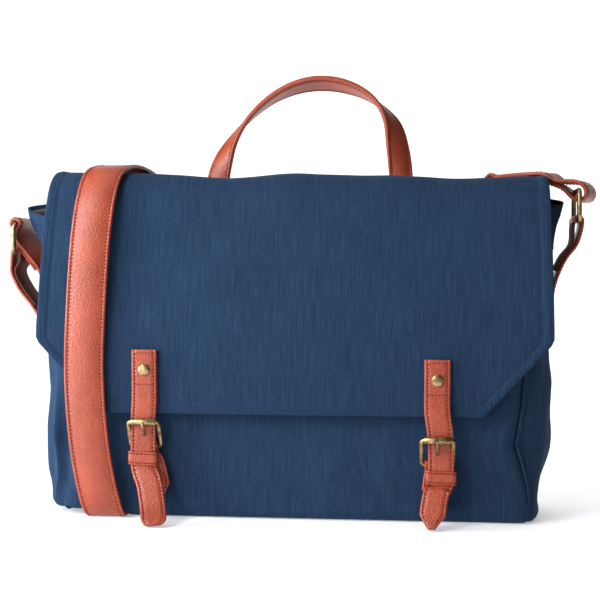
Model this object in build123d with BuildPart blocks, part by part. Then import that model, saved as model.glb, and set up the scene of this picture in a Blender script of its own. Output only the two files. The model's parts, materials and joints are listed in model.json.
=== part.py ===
"""Canvas messenger bag with leather closures, a top handle and a shoulder strap.

Millimetres. Z is up, the flap faces -Y, and the origin is the middle of the base on the floor.
"""
import os
from build123d import *

# ---------------------------------------------------------------- driving dimensions
PANEL_HALF = 188.0        # half the width of the front and back panels
GUSSET_BOW = 20.0         # how far each gusset bows out past the panels
DEPTH_HALF = 48.0         # half the depth of the bag
CLOTH = 2.4               # canvas panel thickness
SKIN = 0.8                # lining thickness
GAP = 0.3                 # clearance between neighbouring pieces
TOUCH = 0.05              # clearance between pieces sewn to each other
BASE_THICK = 5.0          # padded base
STRAP_CHANNEL = 3.8       # hollow in the base where the shoulder strap passes under
BOARD_THICK = 3.0         # base stiffener
FRONT_TOP = 236.0         # mouth height at the front
SIDE_TOP = 248.0          # mouth height at the gussets
GUSSET_FRONT_TOP = 226.0  # where a gusset meets the front panel
BACK_TOP = 260.5          # mouth height at the back
LEATHER = 3.0             # stitched double leather
FAR = 400.0               # beyond the whole bag, for cutting tools

FLAP_HALF = 203.0
FLAP_FACE = 56.7          # distance of the flap's outer face in front of the middle
FLAP_BOTTOM = 84.0
FLAP_CUT_WIDE = 53.0
FLAP_CUT_HIGH = 58.0
SEAM = (46.8, 263.0)      # back seam (y, z)
RIDGE = (-10.0, 273.2)    # ridge of the flap, on its outer face (y, z)
BEND_START = (-41.0, 262.5)
BEND_END = 238.0          # the flap hangs straight below this height
RIDGE_FOLD = (RIDGE, (-1.0, 0.0))
FRONT_FOLD = ((-48.85, 250.25), (-15.7, -24.5))
OUTER_CLOTH = (0.0, 2.2, 0.0)       # depth under the outer face, thickness, inset at the edges
INNER_CLOTH = (2.35, 0.8, 3.0)

CLOSURE_X = {"left": -114.5, "right": 114.5}
CLOSURE_TOP = {"left": 134.7, "right": 128.6}
ROLLER_DROP = {"left": 56.5, "right": 61.5}   # roller height below the strap's top
STITCH_DROP = 28.0        # cross stitch below the strap's top
RIVET_DROP = 15.8
CLOSURE_WIDE = 20.0
CLOSURE_FACE = 60.0       # front face of the closure strap
BAR_SPAN = 20.0           # roller to heel bar
HEEL_Y = -53.0
ROLLER_R = 2.6
ROLLER_BAR_R = 1.3
HEEL_BAR_R = 1.5
RUNNING = 0.06            # radial clearance of a running fit
FRAME_WIRE = 3.2
FRAME_INNER = 21.0
PRONG_R = 1.1
PRONG_SLOT_WIDE = 3.6     # hole in the strap that the prong passes through
PRONG_SLOT_HIGH = 16.0
KEEPER_HIGH = 10.5
KEEPER_INNER_HALF = 10.3
KEEPER_DROP = 3.8         # top of the keeper below the heel bar
CHAPE_HALF = 9.5
CHAPE_LOW = 18.0
SNAP_DROP = 26.0          # magnetic snap below the heel bar
SNAP_R = 7.0

SLEEVE_HALF = 168.0
SLEEVE_FRONT = 24.0       # front face of the padded sleeve
SLEEVE_PAD = 6.0
SLEEVE_TOP = 226.0
INSIDE_LOW = 10.5         # floor inside the lining
LINING_FACE = DEPTH_HALF - CLOTH - GAP - SKIN - GAP
SLIP_HALF = 120.0
SLIP_DEPTH = 8.5
SLIP_TOP = 190.0
ZIP_POCKET_HALF = 110.0
ZIP_POCKET_LOW = 60.0
ZIP_POCKET_TOP = 190.0
ZIP_POCKET_DEPTH = 8.0
ZIP_FACE = SLEEVE_FRONT - GAP - ZIP_POCKET_DEPTH   # front face of the zip pocket
ZIP_HALF = 95.0
ZIP_Z = 180.0
SLOT_HIGH = 1.6           # space between the two tapes
TAPE_HIGH = 8.0
SLIDER_X = ZIP_HALF - 6.0
BAIL_R = 0.6
BAIL_Y = ZIP_FACE - 4.9

STRAP_WIDE = 32.0
STRAP_X = -155.0
RING_INNER_WIDE = 34.0
RING_INNER_HIGH = 20.0
RING_R = 2.0
RING_CORNER = 3.0
RING_X = {"left": -233.0, "right": 225.0}
RING_LOW = {"left": 211.0, "right": 236.0}    # height of the lower bar's axis
TAB_WIDE = 30.0
TAB_THICK = 2.0
TAB_RIVET_DROP = 64.0     # tab rivet below the ring's lower bar
BACK_STRAP_Y = 51.8       # strap behind the bag
RUN_Z = 178.0             # height of its level stretch
ADJUSTER_X = 20.0
STRAP_KEEPER_X = -40.0
HANDLE_Y = 52.0
HANDLE_THICK = 4.0
HANDLE_FOOT_WIDE = 20.0
HANDLE_FOOT_HIGH = 44.0
ANCHOR_WIDE = 24.0
ANCHOR_HIGH = 26.0
ANCHOR_DROP = 3.0         # gap that lets the handle fold


# ---------------------------------------------------------------- helpers
def save(part, name):
    """Name a finished piece and write it to its own file."""
    part.label = name
    export_step(part, f"parts/{name}.step")


def block(x, y, z):
    """A box between two x, two y and two z values."""
    with BuildPart() as piece:
        with Locations(((x[0] + x[1]) / 2, (y[0] + y[1]) / 2, (z[0] + z[1]) / 2)):
            Box(x[1] - x[0], y[1] - y[0], z[1] - z[0])
    return piece.part


def side_ribbon(path, radius, thick, x_middle, wide):
    """A flat strap seen from the side: the path is (y, z) points with rounded corners."""
    with BuildPart() as piece:
        with BuildSketch(Plane.YZ.offset(x_middle)):
            with BuildLine():
                FilletPolyline(*path, radius=radius)
            trace(line_width=thick)
        extrude(amount=wide / 2, both=True)
    return piece.part


def front_ribbon(path, radius, wide, y_middle, thick):
    """A band seen from the front: the path is (x, z) points, and it is thick along Y."""
    with BuildPart() as piece:
        with BuildSketch(Plane.XZ.offset(-y_middle)):
            with BuildLine():
                FilletPolyline(*path, radius=radius)
            trace(line_width=wide)
        extrude(amount=thick / 2, both=True)
    return piece.part


def disc(centre, radius, thick):
    """A disc whose axis lies along Y."""
    with BuildPart() as piece:
        with Locations(Location(centre, (90, 0, 0))):
            Cylinder(radius, thick)
    return piece.part


def footprint(inset):
    """Plan outline of the bag: straight front and back, bowed gussets."""
    half_y = DEPTH_HALF - inset
    bow_x = PANEL_HALF + GUSSET_BOW - inset
    with BuildLine() as outline:
        Line((-PANEL_HALF, -half_y), (PANEL_HALF, -half_y))
        ThreePointArc((PANEL_HALF, -half_y), (bow_x, 0), (PANEL_HALF, half_y))
        Line((PANEL_HALF, half_y), (-PANEL_HALF, half_y))
        ThreePointArc((-PANEL_HALF, half_y), (-bow_x, 0), (-PANEL_HALF, -half_y))
    return outline.edges()


# ---------------------------------------------------------------- body of the bag
def panel(outer_y, inner_y, top, corner=14.0):
    """Front or back panel: a sheet with rounded lower corners."""
    low = BASE_THICK + GAP
    middle_y = (outer_y + inner_y) / 2
    with BuildPart() as piece:
        with Locations((0, middle_y, (low + top) / 2)):
            Box(2 * PANEL_HALF, abs(outer_y - inner_y), top - low)
        lower_corners = piece.edges().filter_by(Axis.Y).group_by(Axis.Z)[0]
        fillet(lower_corners, corner)
    return piece.part


def gusset(side):
    """Side of the bag: a tall sheet that bows outwards."""
    with BuildPart() as piece:
        with BuildSketch(Plane.XY.offset(BASE_THICK + GAP)):
            make_face(footprint(0))
            make_face(footprint(CLOTH), mode=Mode.SUBTRACT)
            with Locations((-side * GUSSET_BOW, 0)):
                Rectangle(2 * (PANEL_HALF + GUSSET_BOW + GAP), 4 * DEPTH_HALF, mode=Mode.SUBTRACT)
        extrude(amount=SIDE_TOP - BASE_THICK - GAP)
        with BuildSketch(Plane.YZ.offset(-2 * PANEL_HALF)):
            with BuildLine():
                Polyline((-FAR, 0), (FAR, 0), (FAR, SIDE_TOP), (-0.6 * DEPTH_HALF, SIDE_TOP),
                         (-DEPTH_HALF, GUSSET_FRONT_TOP + DEPTH_HALF / 6), (-FAR, GUSSET_FRONT_TOP),
                         close=True)
            make_face()
        extrude(amount=4 * PANEL_HALF, mode=Mode.INTERSECT)
    return piece.part


def base_panel(edge_round=3.0):
    """Padded base, hollowed where the shoulder strap runs under it."""
    channel_right = STRAP_X + STRAP_WIDE / 2 + 2
    channel_left = -2 * PANEL_HALF
    with BuildPart() as piece:
        with BuildSketch():
            make_face(footprint(0))
        extrude(amount=BASE_THICK)
        fillet(piece.edges().group_by(Axis.Z)[0], edge_round)
        with Locations(((channel_left + channel_right) / 2, 0, STRAP_CHANNEL / 2)):
            Box(channel_right - channel_left, 4 * DEPTH_HALF, STRAP_CHANNEL, mode=Mode.SUBTRACT)
    return piece.part


def base_stiffener():
    """Board that keeps the base flat."""
    with BuildPart() as piece:
        with BuildSketch(Plane.XY.offset(BASE_THICK + GAP)):
            make_face(footprint(CLOTH + GAP))
        extrude(amount=BOARD_THICK)
    return piece.part


def lining():
    """Inner bag: a thin open shell."""
    low = BASE_THICK + BOARD_THICK + 2 * GAP
    top = FRONT_TOP - 2
    outer = CLOTH + GAP
    with BuildPart() as piece:
        with BuildSketch(Plane.XY.offset(low)):
            make_face(footprint(outer))
        extrude(amount=top - low)
        with BuildSketch(Plane.XY.offset(low + SKIN)):
            make_face(footprint(outer + SKIN))
        extrude(amount=top - low, mode=Mode.SUBTRACT)
    return piece.part


def mouth_binding(fold=1.0, drop=14.0):
    """Turned hem along the top of the front panel, inside the mouth."""
    front = -DEPTH_HALF - GAP
    low = FRONT_TOP - drop
    with BuildPart() as piece:
        with Locations((0, front - fold / 2, (low + FRONT_TOP + fold) / 2)):
            Box(2 * PANEL_HALF - 8, fold, FRONT_TOP + fold + GAP - low)
        with Locations((0, front + CLOTH / 2 + GAP, FRONT_TOP + GAP + fold / 2)):
            Box(2 * PANEL_HALF - 8, CLOTH + 2 * GAP, fold)
    return piece.part


def pocket(half_x, front_y, sheet, back_y, low, top):
    """A patch pocket: a flat front with two short side walls, open at the top."""
    depth = abs(back_y - front_y)
    step = 1 if back_y > front_y else -1
    with BuildPart() as piece:
        with BuildSketch(Plane.XY.offset(low)):
            with Locations((0, front_y + step * sheet / 2)):
                Rectangle(2 * half_x, sheet)
            with Locations((-half_x + sheet / 2, front_y + step * depth / 2)):
                Rectangle(sheet, depth)
            with Locations((half_x - sheet / 2, front_y + step * depth / 2)):
                Rectangle(sheet, depth)
        extrude(amount=top - low)
    return piece.part


# ---------------------------------------------------------------- inside pockets and zip
def zip_pocket():
    """Thin pocket on the sleeve's face, with a long slot closed by the zip."""
    with BuildPart() as piece:
        add(pocket(ZIP_POCKET_HALF, ZIP_FACE, SKIN * 1.5, SLEEVE_FRONT - GAP, ZIP_POCKET_LOW,
                   ZIP_POCKET_TOP))
        with Locations((0, ZIP_FACE, ZIP_Z)):
            Box(2 * ZIP_HALF, 4 * SKIN, SLOT_HIGH + TAPE_HIGH, mode=Mode.SUBTRACT)
    return piece.part


def zip_tapes(tape_thick=0.7, beyond=4.0):
    """Two woven tapes, one above and one below the zip's line."""
    middle_y = ZIP_FACE - tape_thick / 2 - TOUCH
    with BuildPart() as piece:
        for way in (-1, 1):
            with Locations((0, middle_y, ZIP_Z + way * (SLOT_HIGH + TAPE_HIGH) / 2)):
                Box(2 * (ZIP_HALF + beyond), tape_thick, TAPE_HIGH)
    return piece.part


def zip_teeth(tooth_wide=0.88, tooth_deep=1.1, tooth_high=0.7, pitch=2.0, end_room=12.0):
    """Two rows of teeth between the tapes."""
    count = int(2 * (ZIP_HALF - end_room) / pitch)
    with BuildPart() as piece:
        for way in (-1, 1):
            with Locations((way * pitch / 4, ZIP_FACE - 0.4, ZIP_Z + way * SLOT_HIGH / 4)):
                with GridLocations(pitch, 1, count, 1):
                    Box(tooth_wide, tooth_deep, tooth_high)
    return piece.part


def zip_slider(wide=9.0, thick=1.4, high=7.5, bail_long=5.0, ear=0.8):
    """Slider shell at the closed end of the zip, with a bail for the pull."""
    shell_y = ZIP_FACE - 2.6
    ear_deep = shell_y - BAIL_Y - ear / 8
    with BuildPart() as piece:
        with Locations((SLIDER_X, shell_y, ZIP_Z)):
            Box(wide, thick, high)
        fillet(piece.edges().filter_by(Axis.Y), 2.0)
        with Locations(Location((SLIDER_X, BAIL_Y, ZIP_Z), (0, 90, 0))):
            Cylinder(BAIL_R, bail_long)
        for way in (-1, 1):
            with Locations((SLIDER_X + way * (bail_long - ear) / 2, ZIP_FACE - 4.0, ZIP_Z)):
                Box(ear, ear_deep, 2 * BAIL_R)
    return piece.part


def zip_pull(long=20.0, eye_r=1.4, eye_wide=2.6, tongue_wide=6.0, thick=1.2, neck=3.0):
    """Pull tab: an eye on the slider's bail and a wider tongue below it."""
    tongue_y = BAIL_Y - 0.5
    stem_z = ZIP_Z - 1 - long / 2
    with BuildPart() as piece:
        with Locations(Location((SLIDER_X, BAIL_Y, ZIP_Z), (0, 90, 0))):
            Cylinder(eye_r, eye_wide)
        with Locations((SLIDER_X, tongue_y, stem_z)):
            Box(eye_wide, thick, long)
        with Locations((SLIDER_X, tongue_y, stem_z - neck)):
            Box(tongue_wide, thick, long - 2 * neck)
        with Locations(Location((SLIDER_X, BAIL_Y, ZIP_Z), (0, 90, 0))):
            Cylinder(BAIL_R + RUNNING, 2 * tongue_wide, mode=Mode.SUBTRACT)
    return piece.part


# ---------------------------------------------------------------- flap
def flap_outline(shift):
    """Front view of the flap with its two cut lower corners."""
    half = FLAP_HALF - shift
    low = FLAP_BOTTOM + shift
    cut_x = half - FLAP_CUT_WIDE
    cut_z = low + FLAP_CUT_HIGH
    with BuildLine() as outline:
        Polyline((-half, FAR), (-half, cut_z), (-cut_x, low), (cut_x, low),
                 (half, cut_z), (half, FAR), close=True)
    return outline.edges()


def flap_cloth(drop, thick, shift):
    """The whole flap as one sheet, this far under its outer face and cut to its outline."""
    depth = drop + thick / 2
    high = RIDGE[1] - depth
    bend = [(BEND_START[0] + depth / 2, BEND_START[1] - depth), (-FLAP_FACE + depth, BEND_END - depth / 3)]
    path = [(SEAM[0] - 0.4, SEAM[1] + 1.6 - depth), (26.0, 271.0 - depth), (-2.0, high), (-18.0, high),
            *bend, (-FLAP_FACE + depth, FLAP_BOTTOM - 10)]
    with BuildPart() as piece:
        add(side_ribbon(path, (24.0, 24.0, 10.0, 14.0, 14.0), thick, 0, 2 * FLAP_HALF + 10))
        with BuildSketch(Plane.XZ.offset(-FAR)):
            make_face(flap_outline(shift))
        extrude(amount=2 * FAR, mode=Mode.INTERSECT)
    return piece.part


def fold_line(fold, shift):
    """Plane across the flap at a fold, moved along the cloth by shift."""
    (y, z), (along_y, along_z) = fold
    along = Vector(0, along_y, along_z).normalized()
    return Plane(origin=Vector(0, y, z) + along * shift, z_dir=along)


def flap_piece(layer, after=None, before=None):
    """The part of the flap that lies after one fold and before another."""
    with BuildPart() as piece:
        add(flap_cloth(*layer))
        if after:
            split(bisect_by=fold_line(after, GAP / 2), keep=Keep.TOP)
        if before:
            split(bisect_by=fold_line(before, -GAP / 2), keep=Keep.BOTTOM)
    return piece.part


# ---------------------------------------------------------------- closures
def strap_end(side):
    """Upper end of a closure strap, sewn to the flap."""
    top = CLOSURE_TOP[side]
    low = top - STITCH_DROP + GAP / 2
    x = CLOSURE_X[side]
    with BuildPart() as piece:
        add(block((x - CLOSURE_WIDE / 2, x + CLOSURE_WIDE / 2),
                  (-CLOSURE_FACE, -CLOSURE_FACE + LEATHER), (low, top)))
        upper = piece.edges().filter_by(Axis.Y).group_by(Axis.Z)[-1]
        fillet(upper, 2.0)
        with Locations(Location((x, -CLOSURE_FACE, top - RIVET_DROP), (90, 0, 0))):
            Cylinder(2.1, 20, mode=Mode.SUBTRACT)
    return piece.part


def flap_rivet(side):
    """Domed rivet: head on the strap, shank through the leather."""
    x = CLOSURE_X[side]
    z = CLOSURE_TOP[side] - RIVET_DROP
    face = -CLOSURE_FACE - TOUCH
    with BuildPart() as piece:
        with Locations(Location((x, face - 1.1, z), (90, 0, 0))):
            Cylinder(4.8, 2.2)
        fillet(piece.edges().sort_by(Axis.Y)[0], 1.9)
        with Locations(Location((x, face + 1.4, z), (90, 0, 0))):
            Cylinder(2.0, 2.9)
    return piece.part


def closure_levels(side):
    """Heights of the cross stitch, roller and heel bar."""
    top = CLOSURE_TOP[side]
    roller = top - ROLLER_DROP[side]
    return top - STITCH_DROP, roller, roller - BAR_SPAN


def hanging_strap(side, tip_long=10.0):
    """Closure strap from the cross stitch through the buckle to its pointed tip on the floor."""
    stitch, roller, heel = closure_levels(side)
    x = CLOSURE_X[side]
    middle = -CLOSURE_FACE + LEATHER / 2
    path = [(middle, stitch - GAP / 2), (middle, heel - 20), (-77.0, 1.5)]
    with BuildPart() as piece:
        add(side_ribbon(path, 24.0, LEATHER, x, CLOSURE_WIDE))
        with BuildSketch(Plane.XZ):
            half = CLOSURE_WIDE / 2
            with BuildLine():
                Polyline((x - half, FAR), (x - half, tip_long), (x - half / 3, 1.0),
                         (x + half / 3, 1.0), (x + half, tip_long), (x + half, FAR), close=True)
            make_face()
        extrude(amount=FAR, both=True, mode=Mode.INTERSECT)
        with Locations((x, middle, heel + PRONG_SLOT_HIGH / 2 - 1.5)):
            Box(PRONG_SLOT_WIDE, 4 * LEATHER, PRONG_SLOT_HIGH, mode=Mode.SUBTRACT)
    return piece.part


def roller_centre(side):
    """Axis of the roller bar (y, z)."""
    return -CLOSURE_FACE - ROLLER_R - 0.15, closure_levels(side)[1]


def buckle_frame(side):
    """Buckle: two side bars joined by a roller bar in front and a heel bar behind."""
    x = CLOSURE_X[side]
    heel = closure_levels(side)[2]
    front_y, roller = roller_centre(side)
    cheek = (FRAME_INNER + FRAME_WIRE) / 2
    with BuildPart() as piece:
        for way in (-1, 1):
            with BuildSketch(Plane.YZ.offset(x + way * cheek)):
                with BuildLine():
                    Line((front_y, roller), (HEEL_Y, heel))
                trace(line_width=FRAME_WIRE)
                with Locations((front_y, roller), (HEEL_Y, heel)):
                    Circle(FRAME_WIRE / 2 + 0.3)
            extrude(amount=FRAME_WIRE / 2, both=True)
        for centre, radius in (((front_y, roller), ROLLER_BAR_R), ((HEEL_Y, heel), HEEL_BAR_R)):
            with Locations(Location((x, centre[0], centre[1]), (0, 90, 0))):
                Cylinder(radius, FRAME_INNER + FRAME_WIRE)
    return piece.part


def buckle_roller(side):
    """Sleeve that turns on the roller bar."""
    front_y, roller = roller_centre(side)
    with BuildPart() as piece:
        with Locations(Location((CLOSURE_X[side], front_y, roller), (0, 90, 0))):
            Cylinder(ROLLER_R, FRAME_INNER - 2 * GAP)
            Cylinder(ROLLER_BAR_R + RUNNING, FRAME_INNER, mode=Mode.SUBTRACT)
    return piece.part


def buckle_prong(side, long=27.0):
    """Prong: an eye on the heel bar and a rod that rests on the roller."""
    x = CLOSURE_X[side]
    heel = closure_levels(side)[2]
    front_y, roller = roller_centre(side)
    to_roller = Vector(0, front_y - HEEL_Y, roller - heel)
    lift = Vector(0, -to_roller.Z, to_roller.Y).normalized() * -1
    lift = lift if lift.Y < 0 else lift * -1
    aim = (to_roller + lift * (ROLLER_R + PRONG_R + 0.6)).normalized()
    with BuildPart() as piece:
        with Locations(Location((x, HEEL_Y, heel), (0, 90, 0))):
            Cylinder(HEEL_BAR_R + 1.2, 3.2)
        with BuildSketch(Plane(origin=(x, HEEL_Y, heel), z_dir=aim)):
            Circle(PRONG_R)
        extrude(amount=long)
        with Locations(Location((x, HEEL_Y, heel), (0, 90, 0))):
            Cylinder(HEEL_BAR_R + RUNNING, 12, mode=Mode.SUBTRACT)
    return piece.part


def chape(side):
    """Tab that loops round the heel bar and hangs behind the strap, pointed at its end."""
    x = CLOSURE_X[side]
    heel = closure_levels(side)[2]
    inner = HEEL_BAR_R + 0.2
    half = CHAPE_HALF
    with BuildPart() as piece:
        with Locations(Location((x, HEEL_Y, heel), (0, 90, 0))):
            Cylinder(inner + 1.5, 2 * half)
        with Locations((x, HEEL_Y, (heel + CHAPE_LOW) / 2)):
            Box(2 * half, LEATHER, heel - CHAPE_LOW)
        with Locations(Location((x, HEEL_Y, heel), (0, 90, 0))):
            Cylinder(inner, 2 * half + 1, mode=Mode.SUBTRACT)
        with Locations((x, HEEL_Y - 0.6, heel + 1)):
            Box(4.2, 9.0, 9.0, mode=Mode.SUBTRACT)
        tip = piece.edges().filter_by(Axis.Y).group_by(Axis.Z)[0]
        chamfer(tip, 6.0)
    return piece.part


def keeper(side):
    """Loop that holds the strap against the chape."""
    x = CLOSURE_X[side]
    heel = closure_levels(side)[2]
    middle_z = heel - KEEPER_DROP - KEEPER_HIGH / 2
    front = -CLOSURE_FACE - 0.2
    back = HEEL_Y + 1.8
    wall = 1.5
    with BuildPart() as piece:
        with Locations((x, (front + back) / 2, middle_z)):
            Box(2 * (KEEPER_INNER_HALF + wall), back - front + 2 * wall, KEEPER_HIGH)
        fillet(piece.edges().filter_by(Axis.Z), 1.4)
        with Locations((x, (front + back) / 2, middle_z)):
            Box(2 * KEEPER_INNER_HALF, back - front, KEEPER_HIGH, mode=Mode.SUBTRACT)
    return piece.part


def snap_level(side):
    """Height of the magnetic snap behind the keeper."""
    return closure_levels(side)[2] - SNAP_DROP


def snap_socket(side, thick=1.5):
    """Magnet half on the back of the chape."""
    y = HEEL_Y + (LEATHER + thick) / 2 + TOUCH
    return disc((CLOSURE_X[side], y, snap_level(side)), SNAP_R, thick)


def chape_rivet(side, radius=2.6, thick=1.0):
    """Small rivet that holds the socket, seen on the chape."""
    y = HEEL_Y - (LEATHER + thick) / 2 - TOUCH
    return disc((CLOSURE_X[side], y, snap_level(side)), radius, thick)


def snap_studs(thick=1.0):
    """Magnet halves sewn to the front panel, one behind each closure."""
    y = -DEPTH_HALF - TOUCH - thick / 2
    with BuildPart() as piece:
        for side in CLOSURE_X:
            add(disc((CLOSURE_X[side], y, snap_level(side)), SNAP_R, thick))
    return piece.part


# ---------------------------------------------------------------- rings and side tabs
def ring(side):
    """Rectangular ring of round wire, standing in the YZ plane."""
    low = RING_LOW[side]
    middle = low + (RING_INNER_HIGH + 2 * RING_R) / 2
    plane = Plane(origin=(RING_X[side], 0, middle), x_dir=(0, 1, 0), z_dir=(1, 0, 0))
    with BuildPart() as piece:
        with BuildLine(plane) as path:
            half_y = RING_INNER_WIDE / 2 + RING_R
            half_z = RING_INNER_HIGH / 2 + RING_R
            FilletPolyline((half_y, -half_z), (half_y, half_z), (-half_y, half_z),
                           (-half_y, -half_z), radius=RING_CORNER, close=True)
        start = path.edges().sort_by(Axis.Y)[-1]
        with BuildSketch(Plane(origin=start @ 0.5, z_dir=start % 0.5)):
            Circle(RING_R)
        sweep(path=path.wires()[0])
    return piece.part


def looped_end(side, centre_z, stem, wide, thick):
    """A strap end wrapped round a ring bar: an eye and a stem of (x, z) points."""
    x = RING_X[side]
    inner = RING_R + RUNNING
    with BuildPart() as piece:
        with BuildSketch(Plane.XZ):
            with Locations((x, centre_z)):
                Circle(inner + thick)
            with BuildLine():
                FilletPolyline((x, centre_z), *stem, radius=6.0)
            trace(line_width=2 * thick)
            with Locations((x, centre_z)):
                Circle(inner, mode=Mode.SUBTRACT)
        extrude(amount=wide / 2, both=True)
    return piece.part


def side_tab(side):
    """Leather tab that holds the ring's lower bar and runs down the gusset."""
    way = -1 if side == "left" else 1
    face = PANEL_HALF + GUSSET_BOW
    low = RING_LOW[side]
    stem = [(way * (face + 9), low - 22), (way * (face + 2.4), low - 48), (way * (face + 2.4), low - 74)]
    return looped_end(side, low, stem, TAB_WIDE, TAB_THICK)


def side_tab_rivets(radius=4.5, thick=1.4):
    """Rivets through each side tab into the gusset."""
    with BuildPart() as piece:
        for side in RING_X:
            way = -1 if side == "left" else 1
            x = PANEL_HALF + GUSSET_BOW + 2 * TAB_THICK + 0.4 + TOUCH + thick / 2
            with Locations(Location((way * x, 0, RING_LOW[side] - TAB_RIVET_DROP), (0, 90, 0))):
                Cylinder(radius, thick)
    return piece.part


def ring_strap_end(side):
    """End of the shoulder strap, looped over the ring's upper bar."""
    x = RING_X[side]
    high = RING_LOW[side] + RING_INNER_HIGH + 2 * RING_R
    if side == "left":
        stem = [(x + 8, high - 10), (x + 9.5, high - 18)]
    else:
        stem = [(x - 10, high + 5), (x - 19, high + 8)]
    return looped_end(side, high, stem, STRAP_WIDE - 1, 2.2)


# ---------------------------------------------------------------- shoulder strap and handle
def strap_loop():
    """Shoulder strap over the top, down the front, under the base and up the back."""
    middle = CLOSURE_FACE
    path = [(55.5, 229), (54, 262), (34, 281), (-26, 281.5), (-middle, 254), (-middle, 30),
            (-57, 1.9), (51, 1.9), (55.5, 12), (55.5, 188)]
    radius = [12, 20, 22, 22, 30, 4, 3, 6]
    return side_ribbon(path, radius, LEATHER, STRAP_X, STRAP_WIDE)


def right_run():
    """Shoulder strap behind the bag, from the right ring's end to the loop."""
    path = [(198, 256), (152, 204), (112, RUN_Z), (-92, RUN_Z), (-136, 214)]
    return front_ribbon(path, 24.0, STRAP_WIDE, BACK_STRAP_Y, LEATHER)


def left_run():
    """Shoulder strap behind the bag, from the loop to the left ring's end."""
    path = [(-173.5, 182), (-195, 192), (-216, 203)]
    return front_ribbon(path, 30.0, STRAP_WIDE * 0.8, BACK_STRAP_Y, LEATHER)


def strap_adjuster(wire=3.0, wide=26.0, slot=8.0):
    """Three-bar slide on the strap behind the bag."""
    inner = STRAP_WIDE / 2 + 1
    outer_face = BACK_STRAP_Y + LEATHER / 2 + GAP
    with BuildPart() as piece:
        with Locations((ADJUSTER_X, outer_face + wire / 2, RUN_Z)):
            Box(wide, wire, 2 * inner + 2 * wire)
        fillet(piece.edges().filter_by(Axis.Y), 2.5)
        for way in (-1, 1):
            with Locations((ADJUSTER_X + way * wide * 3 / 13, outer_face + wire / 2, RUN_Z)):
                Box(slot, 2 * wire, 2 * inner, mode=Mode.SUBTRACT)
    return piece.part


def strap_keeper(wall=1.5, wide=12.0):
    """Leather loop that holds the strap's loose end."""
    inner_thick = LEATHER + 2 * GAP
    inner_high = STRAP_WIDE + 1
    with BuildPart() as piece:
        with Locations((STRAP_KEEPER_X, BACK_STRAP_Y, RUN_Z)):
            Box(wide, inner_thick + 2 * wall, inner_high + 2 * wall)
            Box(wide, inner_thick, inner_high, mode=Mode.SUBTRACT)
    return piece.part


HANDLE_PATH = [(-80, 232.5), (-79, 276), (-66, 312), (-40, 342), (0, 357), (34, 352),
               (62, 332), (80, 302), (86, 270), (87, 232.5)]


def handle(band_wide=12.0):
    """Top handle: a folded leather strap in an arch, wider where it is sewn on."""
    with BuildPart() as piece:
        add(front_ribbon(HANDLE_PATH, 12.0, band_wide, HANDLE_Y, HANDLE_THICK))
        for foot in (HANDLE_PATH[0], HANDLE_PATH[-1]):
            with Locations((foot[0], HANDLE_Y, foot[1] + HANDLE_FOOT_HIGH / 2)):
                Box(HANDLE_FOOT_WIDE, HANDLE_THICK, HANDLE_FOOT_HIGH)
    return piece.part


def handle_anchors():
    """Leather patches that hold the handle's ends on the back panel."""
    y = DEPTH_HALF + GAP + LEATHER / 2
    with BuildPart() as piece:
        for foot in (HANDLE_PATH[0], HANDLE_PATH[-1]):
            with Locations((foot[0], y, foot[1] - ANCHOR_DROP - ANCHOR_HIGH / 2)):
                Box(ANCHOR_WIDE, LEATHER, ANCHOR_HIGH)
        fillet(piece.edges().filter_by(Axis.Y).group_by(Axis.Z)[0], 4.0)
    return piece.part


# ---------------------------------------------------------------- write every piece
def main():
    """Build and save every piece."""
    os.makedirs("parts", exist_ok=True)
    save(panel(-DEPTH_HALF, -DEPTH_HALF + CLOTH, FRONT_TOP), "front_panel")
    save(panel(DEPTH_HALF, DEPTH_HALF - CLOTH, BACK_TOP), "back_panel")
    save(gusset(-1), "left_gusset")
    save(gusset(1), "right_gusset")
    save(base_panel(), "base_panel")
    save(base_stiffener(), "base_stiffener")
    save(lining(), "lining")
    save(mouth_binding(), "mouth_binding")
    save(pocket(SLEEVE_HALF, SLEEVE_FRONT, SLEEVE_PAD, LINING_FACE, INSIDE_LOW, SLEEVE_TOP),
         "laptop_sleeve")
    save(pocket(SLIP_HALF, -LINING_FACE + SLIP_DEPTH, SKIN * 1.5, -LINING_FACE, INSIDE_LOW + 20,
                SLIP_TOP), "slip_pocket")
    save(zip_pocket(), "zip_pocket")
    save(zip_tapes(), "zip_tapes")
    save(zip_teeth(), "zip_teeth")
    save(zip_slider(), "zip_slider")
    save(zip_pull(), "zip_pull")
    for layer, ending in ((OUTER_CLOTH, ""), (INNER_CLOTH, "_lining")):
        save(flap_piece(layer, before=RIDGE_FOLD), f"flap_top{ending}")
        save(flap_piece(layer, after=RIDGE_FOLD, before=FRONT_FOLD), f"flap_middle{ending}")
        save(flap_piece(layer, after=FRONT_FOLD), f"flap_front{ending}")
    for side in CLOSURE_X:
        save(strap_end(side), f"{side}_strap_end")
        save(flap_rivet(side), f"{side}_flap_rivet")
        save(hanging_strap(side), f"{side}_closure_strap")
        save(buckle_frame(side), f"{side}_buckle_frame")
        save(buckle_roller(side), f"{side}_buckle_roller")
        save(buckle_prong(side), f"{side}_buckle_prong")
        save(chape(side), f"{side}_chape")
        save(keeper(side), f"{side}_keeper")
        save(snap_socket(side), f"{side}_snap_socket")
        save(chape_rivet(side), f"{side}_chape_rivet")
        save(ring(side), f"{side}_ring")
        save(side_tab(side), f"{side}_side_tab")
        save(ring_strap_end(side), f"{side}_ring_strap_end")
    save(snap_studs(), "snap_studs")
    save(side_tab_rivets(), "side_tab_rivets")
    save(strap_loop(), "shoulder_strap_loop")
    save(right_run(), "shoulder_strap_right_run")
    save(left_run(), "shoulder_strap_left_run")
    save(strap_adjuster(), "strap_adjuster")
    save(strap_keeper(), "strap_keeper")
    save(handle(), "handle")
    save(handle_anchors(), "handle_anchors")


main()
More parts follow.
